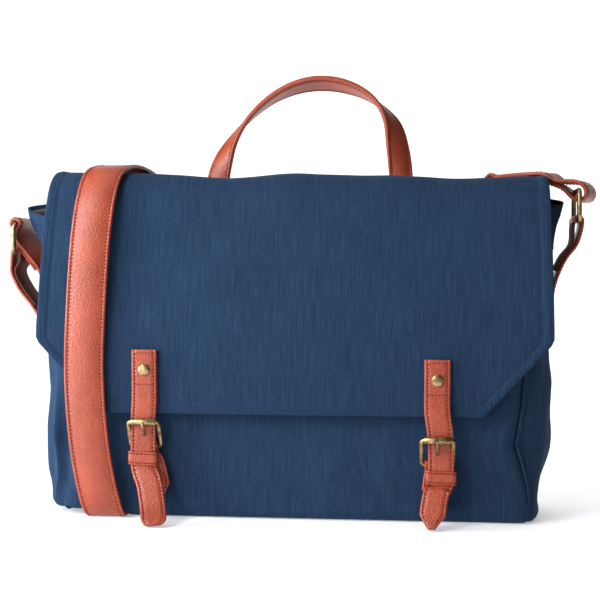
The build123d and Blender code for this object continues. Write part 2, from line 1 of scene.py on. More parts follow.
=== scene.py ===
"""Messenger bag: cloth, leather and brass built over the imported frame. Metres, Z up, flap towards -Y."""
import json
import math
import bpy
import numpy as np
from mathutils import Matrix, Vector, noise


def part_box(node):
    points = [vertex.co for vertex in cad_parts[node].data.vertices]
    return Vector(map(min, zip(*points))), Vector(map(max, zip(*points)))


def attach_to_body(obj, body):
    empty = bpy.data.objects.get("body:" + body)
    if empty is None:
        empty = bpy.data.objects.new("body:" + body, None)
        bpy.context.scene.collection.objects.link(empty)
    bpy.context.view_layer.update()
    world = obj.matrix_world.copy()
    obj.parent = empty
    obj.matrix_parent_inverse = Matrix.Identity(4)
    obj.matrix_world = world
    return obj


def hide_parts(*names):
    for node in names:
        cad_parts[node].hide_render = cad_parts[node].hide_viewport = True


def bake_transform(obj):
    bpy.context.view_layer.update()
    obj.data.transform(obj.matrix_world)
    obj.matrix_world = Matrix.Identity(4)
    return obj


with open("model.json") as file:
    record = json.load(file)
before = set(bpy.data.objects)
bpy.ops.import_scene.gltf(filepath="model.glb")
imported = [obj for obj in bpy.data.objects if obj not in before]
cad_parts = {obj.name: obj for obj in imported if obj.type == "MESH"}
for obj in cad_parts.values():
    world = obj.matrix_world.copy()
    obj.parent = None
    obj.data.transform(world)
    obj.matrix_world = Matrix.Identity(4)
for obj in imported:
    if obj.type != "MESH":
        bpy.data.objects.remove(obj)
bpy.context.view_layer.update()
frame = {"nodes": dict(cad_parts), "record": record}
JOINTS = {j["name"]: j for j in frame["record"]["behaviour"]["joints"]}
SIDES = ("left", "right")


def joint_at(name):
    """Position of a joint in the row frame."""
    return np.array(JOINTS[name]["pos_m"], float)


def span(node):
    """Lowest and highest corner of a CAD node."""
    low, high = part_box(node)
    return np.array(low, float), np.array(high, float)


# ------------------------------------------------------------------ materials
def new_material(name):
    """A material with nodes, its tree and its shader."""
    mat = bpy.data.materials.new(name)
    mat.use_nodes = True
    tree = mat.node_tree
    tree["solid"] = name.endswith("_solid")
    shader = tree.nodes["Principled BSDF"]
    return mat, tree, shader


def node(tree, kind, links=(), **values):
    """Adds a node, sets its properties and inputs, and links (input, socket) pairs."""
    made = tree.nodes.new(kind)
    for key, value in values.items():
        if key in made.inputs:
            made.inputs[key].default_value = value
        elif key.replace("_", " ") in made.inputs:
            made.inputs[key.replace("_", " ")].default_value = value
        else:
            setattr(made, key, value)
    for socket, source in links:
        tree.links.new(source, made.inputs[socket])
    return made


def ramp(tree, source, stops):
    """Colour ramp from (position, rgb) stops."""
    made = tree.nodes.new("ShaderNodeValToRGB")
    made.color_ramp.elements[0].position = stops[0][0]
    made.color_ramp.elements[0].color = (*stops[0][1], 1)
    made.color_ramp.elements[1].position = stops[-1][0]
    made.color_ramp.elements[1].color = (*stops[-1][1], 1)
    for position, colour in stops[1:-1]:
        element = made.color_ramp.elements.new(position)
        element.color = (*colour, 1)
    tree.links.new(source, made.inputs["Fac"])
    return made.outputs["Color"]


def mix_colour(tree, factor, a, b, blend="MIX"):
    """Mixes two colours. The factor and the colours are values or sockets."""
    made = tree.nodes.new("ShaderNodeMix")
    made.data_type = "RGBA"
    made.blend_type = blend
    for socket, value in ((0, factor), (6, a), (7, b)):
        if isinstance(value, bpy.types.NodeSocket):
            tree.links.new(value, made.inputs[socket])
        elif socket == 0:
            made.inputs[0].default_value = value
        else:
            made.inputs[socket].default_value = (*value, 1)
    return made.outputs[2]


def math_node(tree, operation, a, b=None):
    """One step of arithmetic on values or sockets."""
    made = tree.nodes.new("ShaderNodeMath")
    made.operation = operation
    for index, value in ((0, a), (1, b)):
        if isinstance(value, bpy.types.NodeSocket):
            tree.links.new(value, made.inputs[index])
        elif value is not None:
            made.inputs[index].default_value = value
    return made.outputs[0]


def scaled(tree, scale):
    """UV coordinates in metres, scaled. Materials whose name ends in _solid use the object's own place."""
    if tree.get("solid"):
        place = node(tree, "ShaderNodeTexCoord").outputs["Object"]
        scale = (scale[0], scale[1], scale[1])
    else:
        place = node(tree, "ShaderNodeUVMap", uv_map="UVMap").outputs[0]
    return node(tree, "ShaderNodeMapping", [("Vector", place)], Scale=scale).outputs[0]


def noise_at(tree, scale, detail=4.0, rough=0.55, size=1.0):
    """Noise over the cloth, with its own scale along each direction."""
    made = node(tree, "ShaderNodeTexNoise", [("Vector", scaled(tree, scale))], Scale=size, Detail=detail,
                Roughness=rough)
    return made.outputs["Fac"]


def canvas_material(name, dark, mid, light, weave=1.0):
    """Tightly woven canvas: slub threads along the warp, a fine plain weave, soft sheen."""
    mat, tree, shader = new_material(name)
    warp = noise_at(tree, (760.0, 34.0, 1.0), 4.0, 0.6)
    weft = noise_at(tree, (210.0, 1150.0, 1.0), 3.0)
    cloud = noise_at(tree, (9.0, 6.0, 1.0), 5.0, 0.55)
    # the product with one turns the mixed colour into a single value
    threads = math_node(tree, "MULTIPLY", mix_colour(tree, 0.36, warp, weft), 1.0)
    colour = ramp(tree, threads, [(0.24, dark), (0.5, mid), (0.78, light)])
    shade = ramp(tree, cloud, [(0.3, (0.88, 0.89, 0.9)), (0.7, (1.08, 1.07, 1.05))])
    colour = mix_colour(tree, 1.0, colour, shade, "MULTIPLY")
    tree.links.new(colour, shader.inputs["Base Color"])
    waves = [node(tree, "ShaderNodeTexWave", [("Vector", scaled(tree, (1.0, 1.0, 1.0)))], Scale=430.0,
                  Distortion=1.2, bands_direction=way).outputs["Fac"] for way in "XY"]
    cloth = math_node(tree, "MULTIPLY", *waves)
    height = math_node(tree, "ADD", math_node(tree, "MULTIPLY", cloth, 0.5), threads)
    bump = node(tree, "ShaderNodeBump", [("Height", height)], Strength=0.45 * weave, Distance=0.00045)
    tree.links.new(bump.outputs[0], shader.inputs["Normal"])
    rough = ramp(tree, cloud, [(0.3, (0.8, 0.8, 0.8)), (0.7, (0.92, 0.92, 0.92))])
    tree.links.new(rough, shader.inputs["Roughness"])
    shader.inputs["Specular IOR Level"].default_value = 0.12
    shader.inputs["Sheen Weight"].default_value = 0.05
    shader.inputs["Sheen Roughness"].default_value = 0.45
    shader.inputs["Sheen Tint"].default_value = (0.55, 0.75, 1.0, 1)
    return mat


def leather_material(name, dark, mid, light, gloss=0.42):
    """Waxed leather: mottled pull-up colour, pebbled grain, creases and a waxy coat."""
    mat, tree, shader = new_material(name)
    cloud = math_node(tree, "MULTIPLY", noise_at(tree, (34.0, 34.0, 1.0), 6.0, 0.62), 0.6)
    streak = math_node(tree, "MULTIPLY", noise_at(tree, (260.0, 330.0, 1.0), 4.0, 0.6), 0.4)
    tone = math_node(tree, "ADD", cloud, streak)
    colour = ramp(tree, tone, [(0.3, dark), (0.5, mid), (0.7, light)])
    pores = node(tree, "ShaderNodeTexVoronoi", [("Vector", scaled(tree, (1.0, 1.0, 1.0)))], Scale=820.0)
    speck = ramp(tree, pores.outputs["Distance"], [(0.0, (0.8, 0.74, 0.7)), (0.35, (1.0, 1.0, 1.0))])
    colour = mix_colour(tree, 0.55, colour, mix_colour(tree, 1.0, colour, speck, "MULTIPLY"))
    tree.links.new(colour, shader.inputs["Base Color"])
    fine = noise_at(tree, (520.0, 520.0, 1.0), 6.0, 0.6)
    crease = noise_at(tree, (70.0, 120.0, 1.0), 5.0, 0.55)
    height = math_node(tree, "ADD", math_node(tree, "MULTIPLY", pores.outputs["Distance"], 0.7),
                       math_node(tree, "ADD", math_node(tree, "MULTIPLY", fine, 0.5), crease))
    bump = node(tree, "ShaderNodeBump", [("Height", height)], Strength=0.5, Distance=0.0008)
    tree.links.new(bump.outputs[0], shader.inputs["Normal"])
    rough = ramp(tree, tone, [(0.3, (gloss - 0.06,) * 3), (0.7, (gloss + 0.12,) * 3)])
    tree.links.new(rough, shader.inputs["Roughness"])
    shader.inputs["Specular IOR Level"].default_value = 0.5
    shader.inputs["Coat Weight"].default_value = 0.2
    shader.inputs["Coat Roughness"].default_value = 0.42
    return mat


def brass_material(name, dark, light, gloss=0.3):
    """Antique brass: brown patina in clouds, brighter where it is rubbed, fine scratches."""
    mat, tree, shader = new_material(name)
    place = node(tree, "ShaderNodeTexCoord").outputs["Object"]
    cloud = node(tree, "ShaderNodeTexNoise", [("Vector", place)], Scale=260.0, Detail=5.0)
    scratch = node(tree, "ShaderNodeTexNoise", [("Vector", place)], Scale=2200.0, Detail=2.0)
    colour = ramp(tree, cloud.outputs["Fac"], [(0.35, dark), (0.62, light)])
    tree.links.new(colour, shader.inputs["Base Color"])
    shader.inputs["Metallic"].default_value = 1.0
    rough = ramp(tree, cloud.outputs["Fac"], [(0.3, (gloss + 0.16,) * 3), (0.7, (gloss,) * 3)])
    tree.links.new(rough, shader.inputs["Roughness"])
    bump = node(tree, "ShaderNodeBump", [("Height", scratch.outputs["Fac"])], Strength=0.12,
                Distance=0.0002)
    tree.links.new(bump.outputs[0], shader.inputs["Normal"])
    return mat


def thread_material(name, dark, light):
    """Twisted thread in two shades."""
    mat, tree, shader = new_material(name)
    place = node(tree, "ShaderNodeTexCoord").outputs["Object"]
    twist = node(tree, "ShaderNodeTexNoise", [("Vector", place)], Scale=900.0, Detail=3.0)
    colour = ramp(tree, twist.outputs["Fac"], [(0.35, dark), (0.65, light)])
    tree.links.new(colour, shader.inputs["Base Color"])
    shader.inputs["Roughness"].default_value = 0.62
    shader.inputs["Sheen Weight"].default_value = 0.0
    shader.inputs["Specular IOR Level"].default_value = 0.25
    return mat


NAVY = canvas_material("canvas_navy", (0.0060, 0.0155, 0.036), (0.0120, 0.0310, 0.070), (0.026, 0.059, 0.118))
NAVY_SOLID = canvas_material("canvas_navy_solid", (0.0068, 0.0170, 0.038), (0.0128, 0.0320, 0.069),
                             (0.025, 0.056, 0.108))
LINING_SHADES = ((0.10, 0.085, 0.065), (0.17, 0.145, 0.11), (0.24, 0.21, 0.165))
LINING = canvas_material("canvas_lining", *LINING_SHADES, weave=0.6)
LINING_SOLID = canvas_material("canvas_lining_solid", *LINING_SHADES, weave=0.6)
PAD = canvas_material("pad_cloth", (0.05, 0.055, 0.06), (0.085, 0.09, 0.1), (0.13, 0.14, 0.15), weave=0.8)
LEATHER_SHADES = ((0.225, 0.026, 0.0065), (0.322, 0.041, 0.0096), (0.415, 0.065, 0.018))
TERRACOTTA = leather_material("leather_terracotta", *LEATHER_SHADES)
TERRACOTTA_SOLID = leather_material("leather_terracotta_solid", *LEATHER_SHADES)
# darker, rougher leather for the side tab's inner leg: the rough, low-gloss finish is the flesh side's, the
# dark brown colour is painted shade from where the leg lies against the gusset
TAB_INNER_SHADED_LEATHER = leather_material("leather_flesh_side", (0.07, 0.018, 0.009), (0.11, 0.030, 0.015),
                                (0.16, 0.05, 0.026), gloss=0.75)
TAB_INNER_SHADED_SHADER = TAB_INNER_SHADED_LEATHER.node_tree.nodes["Principled BSDF"]
TAB_INNER_SHADED_SHADER.inputs["Specular IOR Level"].default_value = 0.12
TAB_INNER_SHADED_SHADER.inputs["Coat Weight"].default_value = 0.0
BRASS = brass_material("brass_antique", (0.16, 0.095, 0.04), (0.52, 0.36, 0.17))
BLUE_THREAD = thread_material("thread_blue", (0.006, 0.016, 0.035), (0.016, 0.042, 0.085))
RED_THREAD = thread_material("thread_red_brown", (0.11, 0.008, 0.004), (0.22, 0.018, 0.008))


# ------------------------------------------------------------------ mesh helpers
def make_mesh(name, points, faces, materials, uvs=None, face_material=None, smooth=True):
    """A mesh object from points, faces and one uv per point."""
    mesh = bpy.data.meshes.new(name)
    mesh.from_pydata([tuple(p) for p in points], [], [tuple(f) for f in faces])
    for material in materials:
        mesh.materials.append(material)
    if uvs is not None:
        layer = mesh.uv_layers.new(name="UVMap")
        index = np.empty(len(mesh.loops), int)
        mesh.loops.foreach_get("vertex_index", index)
        layer.data.foreach_set("uv", np.asarray(uvs, float)[index].ravel())
    if face_material is not None:
        mesh.polygons.foreach_set("material_index", np.asarray(face_material, int))
    mesh.polygons.foreach_set("use_smooth", [smooth] * len(mesh.polygons))
    mesh.update()
    obj = bpy.data.objects.new(name, mesh)
    bpy.context.scene.collection.objects.link(obj)
    return obj


def grid_faces(rows, cols, close_rows=False, close_cols=False, start=0):
    """Quads of a rows by cols grid of points."""
    faces = []
    for i in range(rows if close_rows else rows - 1):
        for j in range(cols if close_cols else cols - 1):
            a = start + i * cols + j
            b = start + i * cols + (j + 1) % cols
            c = start + ((i + 1) % rows) * cols + (j + 1) % cols
            d = start + ((i + 1) % rows) * cols + j
            faces.append((a, b, c, d))
    return faces


def end_caps(rows, cols, start=0):
    """Faces that close the first and last ring of a tube of points."""
    first = tuple(range(start + cols - 1, start - 1, -1))
    return [first, tuple(range(start + (rows - 1) * cols, start + rows * cols))]


def sheet_faces(rows, cols, turned):
    """Closed sheet: a grid of points, the same grid behind it, and the walls between them."""
    total = rows * cols
    faces = grid_faces(rows, cols)
    faces += [tuple(total + i for i in reversed(f)) for f in grid_faces(rows, cols)]
    for i in range(rows - 1):
        for j in (0, cols - 1):
            a, b = i * cols + j, (i + 1) * cols + j
            faces.append((a, b, total + b, total + a) if j == 0 else (b, a, total + a, total + b))
    for j in range(cols - 1):
        for i in (0, rows - 1):
            a, b = i * cols + j, i * cols + j + 1
            faces.append((b, a, total + a, total + b) if i == 0 else (a, b, total + b, total + a))
    return [tuple(reversed(f)) for f in faces] if turned else faces


def run_along(points):
    """Distance along a line of points."""
    return np.concatenate([[0], np.cumsum(np.linalg.norm(np.diff(points, axis=0), axis=1))])


def rows_at(length, run, rows):
    """Rows read at distances along a line, where run is the distance of each row."""
    return np.stack([np.interp(length, run, rows[:, k]) for k in range(rows.shape[1])], axis=-1)


def smooth_path(points, count):
    """Catmull-Rom curve through points, resampled to even spacing, and its length."""
    p = np.asarray(points, float)
    last = len(p) - 1
    dense = []
    for i in range(last):
        p0, p1, p2, p3 = p[max(i - 1, 0)], p[i], p[i + 1], p[min(i + 2, last)]
        d1, d2, d3 = (max(np.linalg.norm(b - a), 1e-6) ** 0.5 for a, b in ((p0, p1), (p1, p2), (p2, p3)))
        m1 = p2 - p1
        m2 = p2 - p1
        if i > 0:
            m1 = (p2 - p1) + d2 * ((p1 - p0) / d1 - (p2 - p0) / (d1 + d2))
        if i < last - 1:
            m2 = (p2 - p1) + d2 * ((p3 - p2) / d3 - (p3 - p1) / (d2 + d3))
        for t in np.linspace(0, 1, 24, endpoint=False):
            dense.append((2 * t**3 - 3 * t**2 + 1) * p1 + (t**3 - 2 * t**2 + t) * m1
                         + (-2 * t**3 + 3 * t**2) * p2 + (t**3 - t**2) * m2)
    dense.append(p[-1])
    dense = np.array(dense)
    run = run_along(dense)
    return rows_at(np.linspace(0, run[-1], count), run, dense), run[-1]


def unit(v):
    """Vectors scaled to length one."""
    v = np.asarray(v, float)
    return v / np.maximum(np.linalg.norm(v, axis=-1, keepdims=True), 1e-12)


def smoothstep(value):
    """Soft step from 0 to 1."""
    value = np.clip(value, 0, 1)
    return value * value * (3 - 2 * value)


def squared(value, power):
    """A sine or cosine drawn towards the corners of a rounded rectangle."""
    return math.copysign(abs(value) ** power, value)


def wobble(points, size, amount, seed=0.0):
    """Smooth random offset for each point."""
    return np.array([noise.noise(Vector(p) / size + Vector((seed, seed * 1.7, seed * 0.3))) * amount
                     for p in np.asarray(points).reshape(-1, 3)]).reshape(np.asarray(points).shape[:-1])


def attach(obj, how):
    """how is a body name, which the piece is parented to, or a tuple (body a, body b, start, end), which only
    bakes the piece's transform in place.
    """
    if isinstance(how, str):
        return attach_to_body(obj, how)
    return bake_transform(obj)


def tie(obj, how, replaces):
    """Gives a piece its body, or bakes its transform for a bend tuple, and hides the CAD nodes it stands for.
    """
    attach(obj, how)
    if replaces:
        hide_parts(*replaces)
    return obj


GROOVE_DIP = 0.00045
GROOVE_SIDE = 0.0006
STITCH_SHARE = 0.66
STITCH_SINK = 0.00005


class Strap:
    """A flat leather strap along a centre line, with rounded edges and stitch grooves."""

    def __init__(self, name, centre, across, width, thick, how, material=TERRACOTTA, groove=0.0027,
                 stitched=True, pitch=0.0029, tip=None, thread=RED_THREAD, replaces=(),
                 stitch_range=(0.004, 0.004), both_sides=False, edge=0.0011):
        centre = np.asarray(centre, float)
        count = len(centre)
        tangent = unit(np.gradient(centre, axis=0))
        across = np.broadcast_to(np.asarray(across, float), centre.shape)
        across = unit(across - (across * tangent).sum(1, keepdims=True) * tangent)
        out = unit(np.cross(tangent, across))
        run = run_along(centre)
        half = np.full(count, width / 2)
        if tip is not None:
            half = np.minimum(half, tip(run[-1] - run))
        self.centre, self.across, self.out, self.run, self.half = centre, across, out, run, half
        self.thick, self.how = thick, how
        t = thick / 2
        # half of the outline: (inset from the edge, height), round the edge and into the stitch groove
        shape = [(0.0, 0.0), (-0.00012, 0.62 * t), (-0.00055, 0.92 * t), (-edge, t),
                 (-groove + GROOVE_SIDE, t), (-groove, t - GROOVE_DIP), (-groove - GROOVE_SIDE, t)]
        profile = [(1, i, h) for i, h in shape]
        profile += [(0.45, 0, t * 1.03), (0, 0, t * 1.05), (-0.45, 0, t * 1.03)]
        profile += [(-1, -i, h) for i, h in reversed(shape)]
        profile += [(-1, -i, -h) for i, h in shape[1:]]
        profile += [(0, 0, -t)] + [(1, i, -h) for i, h in reversed(shape[1:])]
        ring = len(profile)
        points, uvs = [], []
        for k in range(count):
            for side, inset, height in profile:
                a = side * half[k] + inset
                if half[k] < width / 2 - 1e-6 and side in (1, -1):
                    a = side * max(half[k] - abs(inset) * half[k] / (width / 2), 0.0)
                points.append(centre[k] + across[k] * a + out[k] * height)
                uvs.append((run[k], a + (0.3 if height < 0 else 0.0)))
        faces = [tuple(reversed(f)) for f in grid_faces(count, ring, close_cols=True)]
        faces += [tuple(reversed(f)) for f in end_caps(count, ring)]
        self.obj = tie(make_mesh(name, points, faces, [material], uvs), how, replaces)
        if stitched:
            self.stitch(name + "_stitching", groove, pitch, thread, stitch_range, both_sides)

    def at(self, length):
        """Centre, width direction and outward direction at a distance along the strap."""
        centre = rows_at(length, self.run, self.centre)
        across = rows_at(length, self.run, self.across)
        out = rows_at(length, self.run, self.out)
        return centre, unit(across), unit(out)

    def stitch(self, name, inset, pitch, thread, stitch_range, both_sides):
        """Rows of thread in the grooves along both edges, on one face or both."""
        at = np.arange(self.run[0] + stitch_range[0], self.run[-1] - stitch_range[1], pitch)
        groups = []
        for side in (1, -1):
            for face in ((1, -1) if both_sides else (1,)):
                ends = []
                for length in (at, at + pitch * STITCH_SHARE):
                    centre, across, out = self.at(length)
                    half = np.interp(length, self.run, self.half)[:, None]
                    ends.append(centre + across * side * np.maximum(half - inset, 0)
                                + out * face * (self.thick / 2 - STITCH_SINK))
                groups.append((*ends, self.at(at)[2] * face))
        stitches(name, groups, 0.00044, thread, self.how)


# share of the length, share of the radius, and lift in radii, along one stitch
STITCH_FORM = ((0.0, 0.25, -0.6), (0.12, 0.85, 0.1), (0.5, 1.0, 0.5), (0.88, 0.85, 0.1), (1.0, 0.25, -0.6))


def stitches(name, groups, radius, material, how):
    """Short thread stitches from each p0 to p1, lying on a surface with that normal."""
    points, faces = [], []
    sides = 6
    for p0s, p1s, normals in groups:
        for p0, p1, n in zip(p0s, p1s, normals):
            along = unit(p1 - p0)
            side = unit(np.cross(along, n))
            start = len(points)
            length = np.linalg.norm(p1 - p0)
            for t, r, lift in STITCH_FORM:
                middle = p0 + along * length * t + n * radius * lift
                for k in range(sides):
                    angle = 2 * math.pi * k / sides
                    points.append(middle + (side * math.cos(angle) + n * math.sin(angle)) * radius * r)
            faces += grid_faces(len(STITCH_FORM), sides, close_cols=True, start=start)
            faces += end_caps(len(STITCH_FORM), sides, start)
    attach(make_mesh(name, points, faces, [material]), how)


def tube(name, path, radius, how, flat, material=BRASS, closed=True, sides=14, replaces=()):
    """A round bar along a path. flat is a direction that the path stays clear of."""
    path = np.asarray(path, float)
    count = len(path)
    tangent = unit(np.roll(path, -1, 0) - np.roll(path, 1, 0) if closed else np.gradient(path, axis=0))
    side = unit(np.cross(tangent, flat))
    up = unit(np.cross(side, tangent))
    radii = np.broadcast_to(radius, count)
    points = []
    for k in range(count):
        for s in range(sides):
            angle = 2 * math.pi * s / sides
            points.append(path[k] + (side[k] * math.cos(angle) + up[k] * math.sin(angle)) * radii[k])
    faces = grid_faces(count, sides, close_rows=closed, close_cols=True)
    if not closed:
        faces += end_caps(count, sides)
    return tie(make_mesh(name, points, faces, [material]), how, replaces)


def lathe(name, base, axis, profile, how, replaces=()):
    """A turned brass piece: profile is (distance along the axis, radius) points."""
    count = 32
    axis = unit(axis)
    side = unit(np.cross(axis, (0, 0, 1.0) if abs(axis[2]) < 0.9 else (1.0, 0, 0)))
    up = np.cross(axis, side)
    points = []
    for along, radius in profile:
        for k in range(count):
            angle = 2 * math.pi * k / count
            points.append(np.asarray(base) + axis * along
                          + (side * math.cos(angle) + up * math.sin(angle)) * radius)
    faces = grid_faces(len(profile), count, close_cols=True) + end_caps(len(profile), count)
    return tie(make_mesh(name, points, faces, [BRASS]), how, replaces)


def rounded_loop(place):
    """Closed loop of points with four round corners. place(sign a, sign b, bend a, bend b) gives a point."""
    corners = []
    for sign_a, sign_b in ((1, 1), (-1, 1), (-1, -1), (1, -1)):
        for k in range(6):
            angle = math.pi / 2 * k / 5
            bends = (math.cos(angle), math.sin(angle))
            corners.append(place(sign_a, sign_b, *(bends if sign_a == sign_b else bends[::-1])))
    loop = []
    for k, p in enumerate(corners):
        q = corners[(k + 1) % len(corners)]
        loop += [p + (q - p) * t for t in np.linspace(0, 1, 4, endpoint=False)]
    return loop


# ------------------------------------------------------------------ flap
SEAM = joint_at("flap_hinge")
RIDGE = joint_at("flap_ridge_fold")
FOLD = joint_at("flap_front_fold")
FLAP_LOW, FLAP_HIGH = span("flap_front")
FLAP_FACE = FLAP_LOW[1]
FLAP_BOTTOM = FLAP_LOW[2]
FLAP_HALF = FLAP_HIGH[0]
CUT_WIDE, CUT_HIGH = 0.053, 0.058
FLAP_THICK = 0.0024
PROFILE, FLAP_LENGTH = smooth_path(
    [(SEAM[1], SEAM[2] + 0.0014), (0.028, 0.2698), (RIDGE[1] + 0.004, RIDGE[2] + 0.0003), (-0.0225, 0.2712),
     (-0.0335, 0.2632), (-0.0410, 0.2480), (-0.0460, 0.2260), (-0.0510, 0.1960), (-0.0548, 0.1630),
     (FLAP_FACE, 0.1350), (FLAP_FACE, 0.1100), (FLAP_FACE, FLAP_BOTTOM)], 400)
PROFILE_RUN = np.linspace(0, FLAP_LENGTH, len(PROFILE))


def run_of(point):
    """Distance along the flap's side view at which it is nearest to (y, z)."""
    return PROFILE_RUN[np.argmin(np.linalg.norm(PROFILE - np.array(point), axis=1))]


RUN_RIDGE = run_of(RIDGE[1:])
RUN_FOLD = run_of(FOLD[1:])


def flap_half(run, side=-1):
    """Half width of the flap at a distance from the seam, cut off at the lower corners."""
    left = FLAP_LENGTH - run
    taper = np.where(side < 0, 0.0065, 0.0025) * np.clip((left - 0.07) / 0.125, 0, 1)
    return FLAP_HALF - taper - np.clip(CUT_HIGH - left, 0, CUT_HIGH) * CUT_WIDE / CUT_HIGH


def flap_point(x, run):
    """Outer face of the flap, with its soft waves, for arrays of x and distance from the seam."""
    y, z = (np.interp(run, PROFILE_RUN, PROFILE[:, k]) for k in (0, 1))
    ahead, behind = run + 0.002, run - 0.002
    dy, dz = (np.interp(ahead, PROFILE_RUN, PROFILE[:, k]) - np.interp(behind, PROFILE_RUN, PROFILE[:, k])
              for k in (0, 1))
    size = np.maximum(np.hypot(dy, dz), 1e-9)
    ny, nz = dz / size, -dy / size
    top = np.exp(-((run - RUN_RIDGE) / 0.05) ** 2)
    ridge_wave = 0.0011 * np.sin(x * 31 + 0.6) + 0.0007 * np.sin(x * 67 + 2.0) - 0.003 * (x / FLAP_HALF)
    soft = np.array([noise.noise(Vector((a * 11, b * 13, 3.1))) * 0.0017
                     + noise.noise(Vector((a * 34, b * 22, 8.4))) * 0.0006
                     for a, b in zip(np.ravel(x), np.ravel(run))]).reshape(np.shape(x))
    fade = np.clip(run / 0.03, 0, 1)
    lift = (ridge_wave * top + soft) * fade
    edge = np.minimum(flap_half(run, np.sign(x)) - np.abs(x), FLAP_LENGTH - run)
    hem = 0.00045 * np.clip((0.0085 - edge) / 0.0015, 0, 1)
    groove = 0.0002 * np.exp(-((edge - 0.0095) / 0.001) ** 2)
    lift = lift + (hem - groove)
    sag = 0.0016 * np.clip((run - RUN_FOLD) / 0.16, 0, 1) * np.cos(x / FLAP_HALF * math.pi * 1.5)
    place = np.stack([x, y + ny * (lift + sag), z + nz * (lift + sag)], axis=-1)
    return place, np.stack([np.zeros_like(x), ny, nz], axis=-1)


EDGE_STEPS = [0, 0.0002, 0.0006, 0.0012, 0.0024, 0.0060, 0.0075, 0.0085, 0.0095, 0.0105]
EDGE_BAND = EDGE_STEPS[-1]
EDGE_COLUMNS = 12


def edge_samples(low, high, step, low_edge=True, high_edge=True):
    """Even steps, closer together near a free edge."""
    inner_low = low + (EDGE_BAND if low_edge else 0)
    inner_high = high - (EDGE_BAND if high_edge else 0)
    middle = np.linspace(inner_low, inner_high, max(2, int((inner_high - inner_low) / step) + 1))
    start = [low + d for d in EDGE_STEPS[:-1]] if low_edge else []
    end = [high - d for d in reversed(EDGE_STEPS[:-1])] if high_edge else []
    return np.array(start + list(middle) + end)


def flap_sheet(name, run_a, run_b, depth, thick, inset, how, material, last, replaces):
    """One closed sheet of the flap between two distances from the seam."""
    runs = edge_samples(run_a, run_b - (inset if last else 0), 0.0045, False, last)
    places = edge_samples(-FLAP_HALF, FLAP_HALF, 0.0055)
    near = FLAP_HALF - np.abs(places)
    rows, cols = len(runs), len(places)
    outer, inner, uvs = [], [], []
    for run in runs:
        half = flap_half(run, np.sign(places)) - inset
        middle_x = np.abs(places) * (half - EDGE_BAND) / (FLAP_HALF - EDGE_BAND)
        x = np.sign(places) * np.where(near < EDGE_BAND, half - near, middle_x)
        point, normal = flap_point(x, np.full_like(x, run))
        edge = np.minimum(half - np.abs(x), (run_b - inset - run) if last else 1.0)
        round_off = thick / 2 * (1 - np.sqrt(np.clip(1 - (1 - np.clip(edge / 0.0012, 0, 1)) ** 2, 0, 1)))
        middle = point - normal * (depth + thick / 2)
        outer.append(middle + normal * (thick / 2 - round_off)[:, None])
        inner.append(middle - normal * (thick / 2 - round_off)[:, None])
        uvs.append(np.stack([x, np.full_like(x, run)], axis=-1))
    outer, inner, uvs = (np.array(a).reshape(rows * cols, -1) for a in (outer, inner, uvs))
    total = rows * cols
    obj = make_mesh(name, np.concatenate([outer, inner]), sheet_faces(rows, cols, True), [material],
                    np.concatenate([uvs, uvs + 0.7]))
    # rows where two parts of the flap meet get the same normals on both sides of the join
    joined = ([0] if run_a > 0 else []) + ([rows - 1] if not last else [])
    normals = np.zeros((2 * total, 3))
    for row in joined:
        pick = slice(row * cols + EDGE_COLUMNS, (row + 1) * cols - EDGE_COLUMNS)
        x, run = uvs[pick, 0], uvs[pick, 1]
        across = flap_point(x + 0.001, run)[0] - flap_point(x - 0.001, run)[0]
        along = flap_point(x, run + 0.001)[0] - flap_point(x, run - 0.001)[0]
        normals[pick] = unit(np.cross(along, across))
        normals[pick] *= np.sign((normals[pick] * flap_point(x, run)[1]).sum(1, keepdims=True))
        normals[total + pick.start:total + pick.stop] = -normals[pick]
    obj.data.normals_split_custom_set_from_vertices(normals.tolist())
    return tie(obj, how, replaces)


ZONE = 0.014
MID_TOP = RUN_RIDGE - 0.028
MID_FRONT = (RUN_RIDGE + RUN_FOLD) / 2


def profile_at(run):
    """Point on the flap's side view at a distance from the seam."""
    return np.array([0.0, *(np.interp(run, PROFILE_RUN, PROFILE[:, k]) for k in (0, 1))])


# part, first and last distance from the seam, two bodies and the span of their join (only baked in place, not
# bent), free edge or not, CAD node
FLAP_PARTS = (
    ("rear", 0.0, MID_TOP,
     ("bag", "flap_top", profile_at(0.0) - (0, -0.004, 0), profile_at(0.022)),
     False, "flap_top"),
    ("ridge", MID_TOP, MID_FRONT,
     ("flap_top", "flap_middle", profile_at(RUN_RIDGE - ZONE), profile_at(RUN_RIDGE + ZONE)),
     False, "flap_middle"),
    ("front", MID_FRONT, FLAP_LENGTH,
     ("flap_middle", "flap_front", profile_at(RUN_FOLD - ZONE), profile_at(RUN_FOLD + ZONE)),
     True, "flap_front"),
)
for part, run_a, run_b, how, last, cad in FLAP_PARTS:
    outside = flap_sheet(f"flap_cloth_{part}", run_a, run_b, 0.0, FLAP_THICK, 0.0, how, NAVY, last,
                         [cad])
    inside = flap_sheet(f"flap_lining_{part}", run_a, run_b, FLAP_THICK - 0.0002, 0.0008, 0.003, how,
                        LINING, last, [cad + "_lining"])


